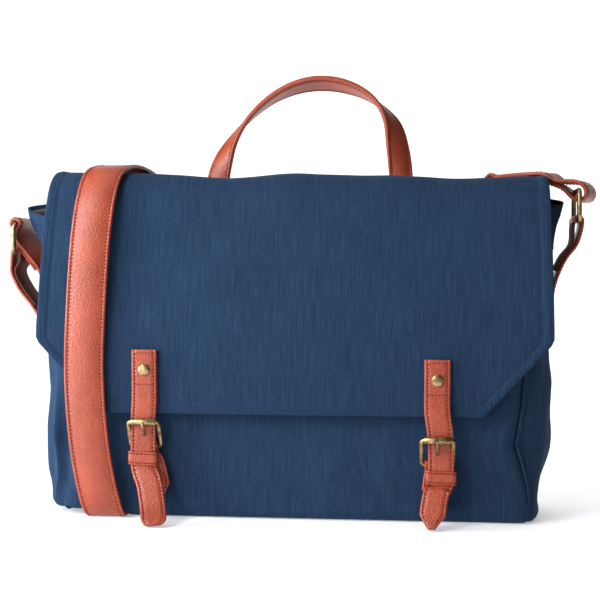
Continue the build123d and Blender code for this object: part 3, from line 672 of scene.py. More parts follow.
def flap_stitch_rows():
    """Stitching round the flap's free edges, in the three parts of the flap."""
    inset, pitch = 0.0037, 0.0031
    for part, run_a, run_b, how, last, _ in FLAP_PARTS:
        groups = []
        for side in (-1, 1):
            at = np.arange(max(run_a, 0.008), run_b - (inset if last else 0) - (0.002 if last else 0), pitch)
            ends = at + pitch * 0.62
            x0 = side * (flap_half(at, side) - inset)
            x1 = side * (flap_half(ends, side) - inset)
            p0, n0 = flap_point(x0, at)
            p1, _ = flap_point(x1, ends)
            groups.append((p0, p1, n0))
        if last:
            row = np.arange(-FLAP_HALF + CUT_WIDE + 0.003, FLAP_HALF - CUT_WIDE - 0.003, pitch)
            run = np.full_like(row, FLAP_LENGTH - inset)
            p0, n0 = flap_point(row, run)
            p1, _ = flap_point(row + pitch * 0.62, run)
            groups.append((p0, p1, n0))
        stitches(f"flap_stitching_{part}", groups, 0.0004, BLUE_THREAD, how)


flap_stitch_rows()


# ------------------------------------------------------------------ body of the bag
FRONT_HIGH = span("front_panel")[1]
BACK_HIGH = span("back_panel")[1]
GUSSET_HIGH = span("right_gusset")[1]
DEPTH = BACK_HIGH[1]
BOW = GUSSET_HIGH[0]
LOOP_LOW, LOOP_HIGH = span("shoulder_strap_loop")


def seam_x(z, side):
    """Half width at the front seams: drawn in at the waist, flared at the base."""
    if side > 0:
        return np.interp(z, [0.0, 0.02, 0.03, 0.05, 0.061, 0.075, 0.094, 0.14, 0.2],
                         [0.1885, 0.1885, 0.1875, 0.1805, 0.1765, 0.1790, 0.1825, 0.185, 0.187])
    return np.interp(z, [0.0, 0.018, 0.03, 0.05, 0.1, 0.16, 0.2],
                     [0.186, 0.186, 0.1835, 0.1820, 0.1835, 0.185, 0.187])


FLAT, SIDE = 120, 60
BACK_HALF = 0.187
COLUMNS = 2 * (FLAT + SIDE)


def front_face(z):
    """Y of the front panel: upright below, leaning back towards the mouth."""
    return -DEPTH + 0.0008 + 0.0105 * smoothstep((z - 0.115) / 0.125)


def outline(z):
    """Plan of the cloth body at a height: front, right gusset, back, left gusset."""
    right, left = float(seam_x(z, 1)), float(seam_x(z, -1))
    x = np.linspace(-1, 1, FLAT, endpoint=False)
    xs = np.where(x < 0, x * left, x * right)
    belly = 0.0026 * (1 - x**2) * math.sin(min(z / 0.2, 1) * math.pi)
    corner = 0.006 * np.clip((np.abs(x) - 0.93) / 0.07, 0, 1) ** 2
    front_y = float(front_face(z))
    front = np.stack([xs, front_y + corner - belly], axis=1)
    back = np.stack([-x * BACK_HALF, np.full(FLAT, DEPTH - 0.0008) - corner * 0.85], axis=1)
    t = np.linspace(0, 1, SIDE, endpoint=False)
    plans = [front]
    # seam, then the width, start and centre of the flare at the mouth, then the share of the squeeze
    for seam, limit, start, centre, share in ((right, 0.0135, 0.198, 0.52, 1.0),
                                              (left, 0.0245, 0.188, 0.30, 0.35)):
        flare = limit * smoothstep((z - start) / 0.066)
        squeeze = 0.0105 * share * math.exp(-((z - 0.012) / 0.03) ** 2)
        if share == 1.0:
            waist = 0.0062 * math.exp(-((z - 0.150) / 0.034) ** 2)
            squeeze = squeeze + waist * np.exp(-((t - 0.5) / 0.3) ** 2)
        else:
            squeeze = squeeze - 0.0038 * math.exp(-((z - 0.055) / 0.045) ** 2)
        far = BOW - 0.0012 - squeeze + flare * np.exp(-((t - centre) / 0.26) ** 2)
        base = seam + (BACK_HALF - seam) * t
        bulge = np.sin(np.pi * t) ** (0.62 if share == 1.0 else 0.50)
        depth_of_seam = 0.0034 + (1 - share) * 0.0056 * math.exp(-((z - 0.06) / 0.05) ** 2)
        pinch = depth_of_seam * (np.exp(-(t / 0.035) ** 2) + np.exp(-((1 - t) / 0.035) ** 2))
        across = base + (far - base) * bulge - pinch
        low, high = front_y + 0.006, DEPTH - 0.006
        depth = low + (high - low) * t
        if share < 1.0:
            puff = 0.0085 * math.exp(-((z - 0.060) / 0.042) ** 2)
            depth = depth - puff * np.exp(-((t - 0.06) / 0.04) ** 2)
        if share == 1.0:
            plans += [np.stack([across, depth], axis=1), back]
        else:
            plans.append(np.stack([-across[::-1], depth[::-1]], axis=1))
    return np.concatenate(plans)


def rim():
    """Height of the mouth for every column."""
    t = np.linspace(0, 1, SIDE, endpoint=False)
    gusset = np.interp(t, [0, 0.12, 0.3, 0.55, 1.0], [0.2335, 0.2405, 0.2475, 0.2515, 0.2590])
    front = np.full(FLAT, FRONT_HIGH[2])
    back = np.full(FLAT, BACK_HIGH[2] - 0.0005)
    return np.concatenate([front, gusset, back, gusset[::-1]])


def body_grid():
    """Points and outward normals of the canvas body, rows from the base up."""
    low = np.array([0.0, 0.0004, 0.0012, 0.0024, 0.0042, 0.0072, 0.0115])
    shares = np.linspace(0, 1, 70)[1:]
    top = rim()
    rows = []
    for z in low:
        plan = outline(z)
        tangent = np.roll(plan, -1, 0) - np.roll(plan, 1, 0)
        normal = unit(np.stack([tangent[:, 1], -tangent[:, 0]], axis=1))
        shrink = 0.0065 * (1 - math.sqrt(max(0.0, 1 - (1 - min(z / 0.0072, 1)) ** 2)))
        plan = plan - normal * shrink
        rows.append(np.stack([plan[:, 0], plan[:, 1], np.full(COLUMNS, z)], axis=1))
    for share in shares:
        z = low[-1] + (top - low[-1]) * share
        levels = np.unique(np.round(z, 4))
        plans = {level: outline(level) for level in levels}
        plan = np.array([plans[level][k] for k, level in enumerate(np.round(z, 4))])
        rows.append(np.stack([plan[:, 0], plan[:, 1], z], axis=1))
    points = np.array(rows)
    along = unit(np.roll(points, -1, 1) - np.roll(points, 1, 1))
    away = unit(np.stack([along[..., 1], -along[..., 0], np.zeros(along.shape[:2])], axis=-1))
    for _ in range(2):
        away = unit(away + 0.5 * (np.roll(away, 1, 1) + np.roll(away, -1, 1)))
    z = points[..., 2]
    seams = np.exp(-((np.abs(points[..., 0]) - 0.186) / 0.026) ** 2)
    tall = points * np.array([1.0, 1.0, 0.3])
    x = points[..., 0]
    slant = np.stack([x * 0.8 + z * 0.6, points[..., 1], z * 0.35 - x * 0.3], axis=-1)
    ripple = wobble(tall, 0.034, 0.0034, 1.0) * (0.3 + seams) + wobble(points, 0.017, 0.0008, 4.0)
    ripple += wobble(slant, 0.022, 0.0030, 9.0) * (0.2 + 0.8 * seams)
    gusset = np.clip((np.abs(points[..., 0]) - 0.19) / 0.01, 0, 1)
    ripple += gusset * wobble(points * np.array([1.0, 1.3, 0.55]), 0.02, 0.0020, 6.0)
    calm = np.where(points[..., 1] > DEPTH - 0.004, 0.3, 1.0) * smoothstep(z / 0.035)
    under = smoothstep((-0.128 - points[..., 0]) / 0.012)
    points = points + away * (ripple * calm - 0.0016 * smoothstep(z / 0.02))[..., None]
    points[..., 2] += 0.0042 * under * np.clip(1 - z / 0.03, 0, 1) + 0.0003
    run = run_along(points[30, :, :2])
    uvs = np.stack([np.broadcast_to(run, z.shape), z], axis=-1)
    return points, away, uvs


def shell(name, outer, away, uvs, thick, material):
    """Closed wall over a grid of rows, with a floor that follows the lifted left side."""
    rows = len(outer)
    inner = outer - away * thick
    inner[0, :, 2] += thick
    points = np.concatenate([outer.reshape(-1, 3), inner.reshape(-1, 3)])
    texture = np.concatenate([uvs.reshape(-1, 2), uvs.reshape(-1, 2) + 1.7])
    total = rows * COLUMNS
    faces = grid_faces(rows, COLUMNS, close_cols=True)
    faces += [tuple(reversed(f)) for f in grid_faces(rows, COLUMNS, close_cols=True, start=total)]
    for j in range(COLUMNS):
        k = (j + 1) % COLUMNS
        a, b = (rows - 1) * COLUMNS + j, (rows - 1) * COLUMNS + k
        faces.append((a, b, total + b, total + a))
    extra, extra_uv = [], []
    steps = 12
    for base, flip in ((0, False), (total, True)):
        columns = []
        for j in range(FLAT + 1):
            first = base + j
            last = base + (2 * FLAT + SIDE - j) % COLUMNS
            p, q = points[first], points[last]
            inside = []
            for s in range(1, steps):
                share = s / steps
                place = p + (q - p) * share
                inside.append(len(points) + len(extra))
                extra.append(place)
                extra_uv.append(place[:2])
            columns.append([first] + inside + [last])
        for j in range(FLAT):
            for s in range(steps):
                face = (columns[j][s], columns[j][s + 1], columns[j + 1][s + 1], columns[j + 1][s])
                faces.append(tuple(reversed(face)) if flip else face)
        right = [base + k for k in range(FLAT, FLAT + SIDE + 1)]
        left = [base + k % COLUMNS for k in range(2 * FLAT + SIDE, COLUMNS + 1)]
        side_r = columns[FLAT][1:-1] + right[::-1]
        side_l = columns[0][1:-1][::-1] + left[::-1]
        faces.append(tuple(reversed(side_r)) if flip else tuple(side_r))
        faces.append(tuple(reversed(side_l)) if flip else tuple(side_l))
    all_points = np.concatenate([points, np.array(extra)])
    all_uvs = np.concatenate([texture, np.array(extra_uv)])
    return make_mesh(name, all_points, faces, [material], all_uvs)


BODY, BODY_AWAY, BODY_UV = body_grid()


def body():
    """Canvas body that sags, its lining, and the board in the base."""
    tie(shell("body_canvas", BODY, BODY_AWAY, BODY_UV, 0.0018, NAVY), "bag",
        ("front_panel", "back_panel", "left_gusset", "right_gusset", "base_panel", "mouth_binding"))
    inside = BODY[6:-1] - BODY_AWAY[6:-1] * 0.0021
    inside[0, :, 2] = 0.0125
    tie(shell("body_lining", inside, BODY_AWAY[6:-1], BODY_UV[6:-1], 0.0008, LINING), "bag",
        ("lining",))
    high = span("base_stiffener")[1]
    half_x, half_y = high[0] - 0.014, high[1] - 0.012
    plan = []
    for k in range(96):
        angle = 2 * math.pi * k / 96
        plan.append((half_x * squared(math.cos(angle), 0.12), half_y * squared(math.sin(angle), 0.2)))
    grid = [(x, y, z) for z in (0.0078, 0.0098) for x, y in np.array(plan)]
    faces = grid_faces(2, len(plan), close_cols=True) + end_caps(2, len(plan))
    board = make_mesh("base_board", grid, faces, [PAD], [p[:2] for p in grid], smooth=False)
    tie(board, "bag", ("base_stiffener",))


body()


def flap_seam():
    """Band that joins the back panel's top edge to the flap."""
    centre = [(x, DEPTH - 0.0008, SEAM[2] - 0.0027) for x in np.linspace(-0.1865, 0.1865, 60)]
    band = Strap("flap_seam_band", centre, (0, 0, -1.0), 0.0095, 0.0016, "bag", material=NAVY,
                 thread=BLUE_THREAD, groove=0.002)


flap_seam()


def hem_rows(name, rows_from_top):
    """Stitching along the turned hem at the mouth of the gussets and panels."""
    ring = BODY[-1 - rows_from_top]
    away = BODY_AWAY[-1 - rows_from_top]
    closed = np.concatenate([ring, ring[:1]])
    turned = np.concatenate([away, away[:1]])
    run = run_along(closed)
    at = np.arange(0, run[-1] - 0.004, 0.0031)
    ends = (rows_at(at, run, closed), rows_at(at + 0.0019, run, closed))
    stitches(name, [(*ends, unit(rows_at(at, run, turned)))], 0.0004, BLUE_THREAD, "bag")


hem_rows("mouth_hem_stitching", 3)
hem_rows("facing_stitching", 10)


def seam_rows():
    """Raised cord down each of the four corner seams of the body."""
    rows = np.arange(7, len(BODY) - 1)
    for name, column in (("front_left", 0), ("front_right", FLAT),
                         ("back_right", FLAT + SIDE), ("back_left", 2 * FLAT + SIDE)):
        line = (BODY[rows, (column - 1) % COLUMNS] + BODY[rows, (column + 1) % COLUMNS]) / 2
        away = BODY_AWAY[rows, column % COLUMNS]
        path, _ = smooth_path(line + away * 0.0006, 160)
        cord = tube(f"seam_{name}", path, 0.0012, "bag", material=NAVY_SOLID, closed=False, sides=8,
                    flat=(1, 0, 0))


seam_rows()


# ------------------------------------------------------------------ pockets inside
def pocket_cloth(name, half, front, back, low, top, thick, material, cad, quilt=0.0, bulge=0.0, lean=0.0):
    """A pocket sewn to the wall at its sides and foot, open at the top."""
    step = 1 if back > front else -1
    corner = 0.006
    plan = [(-half, back), (-half, front + step * corner), (-half + corner, front)]
    plan += [(x, front) for x in np.linspace(-half + 0.03, half - 0.03, 9)]
    plan += [(half - corner, front), (half, front + step * corner), (half, back)]
    path, length = smooth_path(plan, 150)
    tangent = unit(np.gradient(path, axis=0))
    normal = np.stack([tangent[:, 1], -tangent[:, 0]], axis=1) * step
    hem_rows_below = np.array([0.0125, 0.011, 0.0095, 0.006, 0.003, 0.001, 0.0])
    heights = np.concatenate([np.linspace(low, top - 0.014, 40), top - hem_rows_below])
    outer, inner, uvs = [], [], []
    for z in heights:
        share = np.clip((z - low) / (top - low), 0, 1)
        middle = np.clip(1 - np.abs(path[:, 0]) / half, 0, 1)
        push = bulge * np.sin(math.pi * share) * smoothstep(middle * 2.5)
        here = np.stack([path[:, 0], path[:, 1], np.full(len(path), z)], axis=1)
        push = push + wobble(here, 0.03, 0.0007, half * 10)
        cell_u = np.sin(path[:, 0] * math.pi / 0.028) ** 2
        cell_v = math.sin(z * math.pi / 0.028) ** 2
        push = push + quilt * (cell_u * cell_v) ** 0.35 * (z < top - 0.013)
        hem = 0.0005 if z > top - 0.0105 else 0.0
        tip = thick / 2 * (1 if z < top - 0.0005 else 0.35)
        shift = lean * smoothstep(share)
        for target, sign in ((outer, 1), (inner, -1)):
            flat = path + normal * ((push + hem) * (sign > 0) + sign * tip)[:, None] + np.array((0, shift))
            target.append(np.stack([flat[:, 0], flat[:, 1], np.full(len(path), z)], axis=1))
        uvs.append(np.stack([np.linspace(0, length, len(path)), np.full(len(path), z)], axis=1))
    rows, cols = len(heights), len(path)
    points = np.concatenate([np.array(outer).reshape(-1, 3), np.array(inner).reshape(-1, 3)])
    texture = np.concatenate([np.array(uvs).reshape(-1, 2)] * 2)
    obj = make_mesh(name, points, sheet_faces(rows, cols, step < 0), [material], texture)
    return tie(obj, "bag", (cad,))


SLEEVE_LOW, SLEEVE_HIGH = span("laptop_sleeve")
SLIP_LOW, SLIP_HIGH = span("slip_pocket")
sleeve = pocket_cloth("laptop_sleeve_quilted", SLEEVE_HIGH[0] - 0.002, SLEEVE_LOW[1] + 0.0030,
                      SLEEVE_HIGH[1] - 0.0012, SLEEVE_LOW[2] + 0.003, SLEEVE_HIGH[2], 0.0042, PAD,
                      "laptop_sleeve", quilt=0.0011)
slip = pocket_cloth("slip_pocket_cloth", SLIP_HIGH[0] - 0.0006, SLIP_HIGH[1] - 0.0012, SLIP_LOW[1] + 0.0016,
                    SLIP_LOW[2], SLIP_HIGH[2], 0.0009, LINING, "slip_pocket", bulge=0.003, lean=0.006)


# ------------------------------------------------------------------ closures
def closure(side):
    """Strap, rivet, buckle, keeper and chape of one closure."""
    body = f"{side}_closure"
    pivot = joint_at(f"{side}_closure_swing")
    roller = joint_at(f"{side}_roller_turn")
    heel = joint_at(f"{side}_prong_lift")
    end_low, end_high = span(f"{side}_strap_end")
    strap_low, strap_high = span(f"{side}_closure_strap")
    x = pivot[0]
    width = strap_high[0] - strap_low[0]
    thick = 0.0030
    face = end_low[1]
    middle = face + thick / 2
    lean = -0.003 if side == "left" else 0.010
    down = [(x, middle, end_high[2]), (x, middle, pivot[2] + 0.012), (x, middle, pivot[2] - 0.012),
            (x + lean * 0.2, middle - 0.0002, roller[2] + 0.006), (x + lean * 0.3, middle - 0.0004, heel[2]),
            (x + lean * 0.2, middle, heel[2] - 0.016)]
    if side == "left":
        down += [(x + 0.0050, middle - 0.0060, 0.030), (x + 0.0100, -0.0745, 0.014),
                 (x + 0.0140, -0.0875, 0.0026)]
    else:
        down += [(x - 0.0005, middle - 0.004, 0.027), (x - 0.0035, -0.0705, 0.011),
                 (x - 0.0045, -0.0775, 0.0022)]
    centre, _ = smooth_path(down, 190)

    def tip(left):
        """Half width at a distance from the tip: rounded at the left, pointed at the right."""
        if side == "left":
            return width * np.interp(left, [0, 0.0004, 0.0012, 0.0026, 0.0045, 0.0075, 0.010],
                                     [0.22, 0.29, 0.36, 0.43, 0.475, 0.5, 0.6])
        return width * np.interp(left, [0, 0.0004, 0.0014, 0.011, 0.014], [0.13, 0.16, 0.19, 0.49, 0.6])

    across = np.tile(np.array([1.0, 0, 0]), (len(centre), 1))
    turn = 0.10 if side == "left" else -0.12
    across[:, 1] = np.linspace(0, turn, len(centre)) * np.linspace(0, 1, len(centre))
    how = ("flap_front", body, pivot + (0, 0, 0.006), pivot - (0, 0, 0.006))
    Strap(f"{side}_closure_strap_leather", centre, across, width, thick, how, tip=tip,
          replaces=(f"{side}_strap_end", f"{side}_closure_strap"), pitch=0.0028, groove=0.0024,
          stitch_range=(0.003, 0.006))
    rows = []
    for z in (pivot[2] + 0.0008, end_high[2] - 0.0026):
        xs = np.arange(x - width / 2 + 0.0028, x + width / 2 - 0.0035, 0.0026)
        p0 = np.stack([xs, np.full_like(xs, face), np.full_like(xs, z)], axis=1)
        rows.append((p0, p0 + (0.0017, 0, 0), np.tile((0, -1.0, 0), (len(xs), 1))))
    stitches(f"{side}_closure_cross_stitch", rows, 0.00038, RED_THREAD, "flap_front")
    rivet_low, rivet_high = span(f"{side}_flap_rivet")
    centre_z = (rivet_low[2] + rivet_high[2]) / 2
    radius = (rivet_high[0] - rivet_low[0]) / 2
    lathe(f"{side}_rivet_dome", (x, face + 0.0004, centre_z), (0, -1, 0),
          [(-0.0030, 0.002), (0.0, 0.002), (0.0001, radius), (0.0009, radius), (0.0014, radius * 0.94),
           (0.0019, radius * 0.78), (0.0023, radius * 0.5), (0.0024, radius * 0.2)], "flap_front",
          replaces=[f"{side}_flap_rivet"])
    # buckle frame: rounded bar loop tilted from the roller to the heel bar
    low, high = span(f"{side}_buckle_frame")
    half = (high[0] - low[0]) / 2 - 0.0016
    direction = unit(roller - heel)
    corner = 0.0032

    def frame_point(sign, end, bend_x, bend_along):
        base = roller if end > 0 else heel
        return (base + np.array([sign * (half - corner + corner * bend_x), 0, 0])
                + direction * end * (-corner + corner * bend_along + 0.0004))

    tube(f"{side}_buckle_loop", rounded_loop(frame_point), 0.0017, body,
         flat=np.cross(direction, (1, 0, 0)), replaces=[f"{side}_buckle_frame"])
    span_low, span_high = span(f"{side}_buckle_roller")
    r = 0.0028
    long = span_high[0] - span_low[0]
    profile = [(0, 0.00135), (0, r - 0.0004), (0.0003, r), (long - 0.0003, r), (long, r - 0.0004),
               (long, 0.00135)]
    lathe(f"{side}_roller_sleeve", (span_low[0], roller[1], roller[2]), (1, 0, 0), profile, f"{side}_roller",
          replaces=[f"{side}_buckle_roller"])
    # prong: eye round the heel bar, shank resting on the roller
    reach = np.linalg.norm(roller - heel)
    clear = r + 0.0012
    tilt = math.asin(clear / reach)
    flat_angle = math.atan2(-(roller[1] - heel[1]), roller[2] - heel[2]) + tilt
    aim = np.array([0, -math.sin(flat_angle), math.cos(flat_angle)])
    stalk = [heel + aim * d for d in np.linspace(0.0016, 0.0245, 12)]
    taper = np.interp(np.linspace(0, 1, 12), [0, 0.75, 0.9, 1], [0.0012, 0.0012, 0.0010, 0.0006])
    tube(f"{side}_prong_shank", stalk, taper, f"{side}_prong", closed=False, flat=(1, 0, 0), sides=12)
    lathe(f"{side}_prong_eye", heel - (0.0017, 0, 0), (1, 0, 0),
          [(0, 0.00165), (0, 0.0024), (0.0004, 0.0028), (0.003, 0.0028), (0.0034, 0.0024), (0.0034, 0.00165)],
          f"{side}_prong", replaces=[f"{side}_buckle_prong"])
    # keeper
    low, high = span(f"{side}_keeper")
    strap_shift = np.interp((low[2] + high[2]) / 2, centre[::-1, 2], centre[::-1, 0]) - x
    cx, cy = x + strap_shift, (low[1] + high[1]) / 2
    hx, hy = (high[0] - low[0]) / 2 - 0.0008, (high[1] - low[1]) / 2 - 0.0008
    ring = []
    for k in range(64):
        a = 2 * math.pi * k / 64
        ring.append((cx + hx * squared(math.cos(a), 0.22), cy + hy * squared(math.sin(a), 0.35),
                     (low[2] + high[2]) / 2 + 0.0005 * math.sin(a * 2)))
    ring.append(ring[0])
    Strap(f"{side}_keeper_loop", ring, (0, 0, 1.0), high[2] - low[2], 0.0016, body, groove=0.0017, pitch=0.0022,
          replaces=[f"{side}_keeper"], stitch_range=(0.0, 0.0), edge=0.0008)
    # chape behind the strap
    low, high = span(f"{side}_chape")
    shift = 0.0110 if side == "left" else -0.0030
    path, _ = smooth_path([(x, heel[1] + 0.0030, heel[2] - 0.001), (x, heel[1] + 0.0016, heel[2] + 0.0030),
                           (x, heel[1] - 0.0018, heel[2] + 0.0024), (x, heel[1] - 0.0012, heel[2] - 0.004),
                           (x + shift * 0.5, heel[1] - 0.0003, heel[2] - 0.014),
                           (x + shift, heel[1], low[2])], 60)

    def chape_tip(left):
        """Half width of the chape at a distance from its lower end."""
        return np.interp(left, [0, 0.002, 0.009, 0.02], [0.0026, 0.0045, 0.0096, 0.0105])

    Strap(f"{side}_chape_leather", path, (1.0, 0, 0), high[0] - low[0], 0.0022, body, tip=chape_tip,
          replaces=[f"{side}_chape"], groove=0.0022, pitch=0.0026, stitch_range=(0.014, 0.004))


for side_name in SIDES:
    closure(side_name)


# ------------------------------------------------------------------ rings, side tabs and strap ends
def ring_loop(side):
    """Wire ring of one side; gives its centre and the height from there to its upper bar."""
    low, high = span(f"{side}_ring")
    centre = (low + high) / 2
    r = (high[0] - low[0]) / 2
    hy, hz = (high[1] - low[1]) / 2 - r, (high[2] - low[2]) / 2 - r
    corner = 0.005

    def ring_point(sign_y, sign_z, bend_y, bend_z):
        return centre + (0, sign_y * (hy - corner + corner * bend_y), sign_z * (hz - corner + corner * bend_z))

    tube(f"{side}_ring_wire", rounded_loop(ring_point), r, f"{side}_ring", flat=(1, 0, 0),
         replaces=[f"{side}_ring"])
    return centre, hz


def around_bar(bar, radius, start_angle, end_angle, steps=14):
    """Points round a bar along Y, angles in degrees in the XZ plane."""
    return [(bar[0] + radius * math.cos(math.radians(a)), bar[1], bar[2] + radius * math.sin(math.radians(a)))
            for a in np.linspace(start_angle, end_angle, steps)]


TAB_ROUND = 0.0033


def side_pieces(side):
    """Ring, side tab and rivet dome of one side; gives the middle of the ring's upper bar."""
    way = -1 if side == "left" else 1
    centre, hz = ring_loop(side)
    bar_low = centre - (0, 0, hz)
    tab_low, tab_high = span(f"{side}_side_tab")
    width = tab_high[1] - tab_low[1]
    if side == "left":
        sweep = around_bar(bar_low, TAB_ROUND, -20, 180, 12)
        outer = [(0.2368, 0.2030), (0.2370, 0.1955), (0.2305, 0.1810), (0.2195, 0.1670), (0.2110, 0.1520),
                 (0.2092, 0.1360)]
    else:
        sweep = around_bar(bar_low, TAB_ROUND, 200, 0, 12)
        outer = [(0.2272, 0.2280), (0.2235, 0.2170), (0.2160, 0.2070), (0.2105, 0.1960), (0.2062, 0.1830),
                 (0.2036, 0.1650)]
    path, _ = smooth_path(sweep + [(way * x, 0, z) for x, z in outer], 110)
    across = (0, way, 0)
    Strap(f"{side}_side_tab_leather", path, across, width, 0.0024, "bag", replaces=[f"{side}_side_tab"],
          groove=0.0026)
    inner = [sweep[0], (way * (abs(bar_low[0]) - 0.0036), 0, bar_low[2] - 0.006)]
    inner += [(way * (x - 0.0031), 0, z + 0.0006) for x, z in outer[1:4]]
    inner_leg, _ = smooth_path(inner, 40)
    # the inner leg takes the darker leather, whose dark brown is painted shade
    Strap(f"{side}_side_tab_inner", inner_leg, across, width - 0.001, 0.0018, "bag", material=TAB_INNER_SHADED_LEATHER,
          stitched=False)
    rivets = frame["nodes"]["side_tab_rivets"]
    heights = [(rivets.matrix_world @ v.co)[2] for v in rivets.data.vertices if way * v.co[0] > 0]
    height = (min(heights) + max(heights)) / 2
    on = np.interp(height, [z for _, z in outer[::-1]], [x for x, _ in outer[::-1]])
    lathe(f"{side}_tab_rivet_dome", (way * (on + 0.0010), 0, height), (way, 0, 0),
          [(-0.0050, 0.0015), (0.0, 0.0015), (0.0001, 0.0040), (0.0007, 0.0040), (0.0012, 0.0037),
           (0.0017, 0.0030), (0.0020, 0.0018), (0.0021, 0.0006)], "bag",
          replaces=["side_tab_rivets"] if way > 0 else [])
    return centre + (0, 0, hz)


RUN_LOW, RUN_HIGH = span("shoulder_strap_right_run")
RUN_Y = (RUN_LOW[1] + RUN_HIGH[1]) / 2
ADJ_LOW, ADJ_HIGH = span("strap_adjuster")
RUN_Z = (ADJ_LOW[2] + ADJ_HIGH[2]) / 2
STRAP_WIDTH = LOOP_HIGH[0] - LOOP_LOW[0]
STRAP_X = (LOOP_LOW[0] + LOOP_HIGH[0]) / 2
STRAP_THICK = 0.0030
# how many metres a full width direction counts for when the path is smoothed
TURN_SHARE = 0.004


def twisted(points, count):
    """Path and width directions from (place, width direction) rows."""
    rows = []
    for place, way in points:
        way = unit(way)
        if rows and np.dot(way, rows[-1][3:]) < 0:
            way = -way
        rows.append(list(place) + list(way * TURN_SHARE))
    path, _ = smooth_path(rows, count)
    return path[:, :3], unit(path[:, 3:])


def laid(points, wrap, count):
    """Rows for twisted: a strap that lies flat on an unrolled surface."""
    flat, _ = smooth_path(points, count)
    rows = []
    for (a, b), (da, db) in zip(flat, unit(np.gradient(flat, axis=0))):
        place, along_a, along_b = wrap(a, b)
        rows.append((place, unit(along_b * da - along_a * db)))
    return rows


TOP_LAY = 0.2742
EDGE_ROUND = 0.010
BEHIND = RUN_Y + 0.0004


def over_back(x, v):
    """Surface over the rear of the flap and down the back: v is the distance past the back edge."""
    half_arc = EDGE_ROUND * math.pi / 4
    along = np.array((1.0, 0, 0))
    if v <= -half_arc:
        drop = 0.0104 * float(smoothstep((x - 0.2020) / 0.019))
        return np.array((x, BEHIND - EDGE_ROUND + v + half_arc, TOP_LAY - drop)), along, np.array((0, 1.0, 0))
    if v < half_arc:
        turn = (v + half_arc) / EDGE_ROUND
        place = (x, BEHIND - EDGE_ROUND + EDGE_ROUND * math.sin(turn),
                 TOP_LAY - EDGE_ROUND + EDGE_ROUND * math.cos(turn))
        return np.array(place), along, np.array((0, math.cos(turn), -math.sin(turn)))
    return np.array((x, BEHIND, TOP_LAY - EDGE_ROUND - (v - half_arc))), along, np.array((0, 0, -1.0))


def right_strap(bar):
    """Strap from the right ring over the flap's rear corner and down behind the bag."""
    x, z = bar[0], bar[2]
    level = TOP_LAY - EDGE_ROUND - RUN_Z + EDGE_ROUND * math.pi / 4
    main = laid([(x - 0.0125, -0.0455), (x - 0.0200, -0.0420), (x - 0.0300, -0.0350), (x - 0.0385, -0.0250),
                 (x - 0.0475, -0.0110), (x - 0.0570, 0.0040), (x - 0.0690, 0.0230), (x - 0.0850, 0.0440),
                 (x - 0.1050, 0.0640), (x - 0.1280, level - 0.0080), (x - 0.1520, level - 0.0010),
                 (0.0500, level)], over_back, 26)
    lean = math.radians(20)
    depth_way = np.array((-math.sin(lean), -math.cos(lean), 0))

    def leaned(loop):
        return [((x + dx * math.cos(lean), -dx * math.sin(lean), z + dz), depth_way) for dx, dz in loop]

    loop = [(0.0062, -0.0076), (0.0092, -0.0064), (0.0108, -0.0030), (0.0100, 0.0014), (0.0068, 0.0050),
            (0.0024, 0.0068), (-0.0036, 0.0074)]
    path, across = twisted(leaned(loop) + main, 300)
    how = ("right_ring", "bag", (x - 0.006, 0, z), (x - 0.034, 0.012, z + 0.008))
    Strap("shoulder_strap_right_end", path, across, STRAP_WIDTH - 0.001, STRAP_THICK, how,
          replaces=["right_ring_strap_end"], stitch_range=(0.002, 0.0), both_sides=True)
    loop = [(0.0064, -0.0080), (0.0020, -0.0070), (-0.0016, -0.0046), (-0.0052, -0.0008), (-0.0090, 0.0022)]
    under = leaned(loop) + [(place - (0, 0, 0.0033), way) for place, way in main[2:6]]
    path, across = twisted(under, 90)
    Strap("shoulder_strap_right_end_inner", path, across, STRAP_WIDTH - 0.002, 0.0027, how,
          stitch_range=(0.002, 0.003), both_sides=True)


LEFT_CORNER = (-0.1800, BEHIND + 0.0030)
CORNER_ROUND = 0.0215


def round_left(u, z):
    """Surface across the back and round the left rear corner: u is the distance left of the middle."""
    arc_end = -LEFT_CORNER[0] + CORNER_ROUND * math.pi / 2
    up = np.array((0, 0, 1.0))
    if u <= -LEFT_CORNER[0]:
        return np.array((-u, LEFT_CORNER[1], z)), np.array((-1.0, 0, 0)), up
    if u < arc_end:
        turn = (u + LEFT_CORNER[0]) / CORNER_ROUND
        place = (LEFT_CORNER[0] - CORNER_ROUND * math.sin(turn),
                 LEFT_CORNER[1] - CORNER_ROUND * (1 - math.cos(turn)), z)
        return np.array(place), np.array((-math.cos(turn), -math.sin(turn), 0)), up
    past = u - arc_end
    out = 0.0078 * float(smoothstep(past / 0.012)) + 0.0200 * float(smoothstep((z - 0.196) / 0.033))
    place = (LEFT_CORNER[0] - CORNER_ROUND - out, LEFT_CORNER[1] - CORNER_ROUND - past, z)
    return np.array(place), np.array((-0.3, -0.95, 0)), up


LEG_TOP = 0.0950
LEFT_JOIN = 0.60


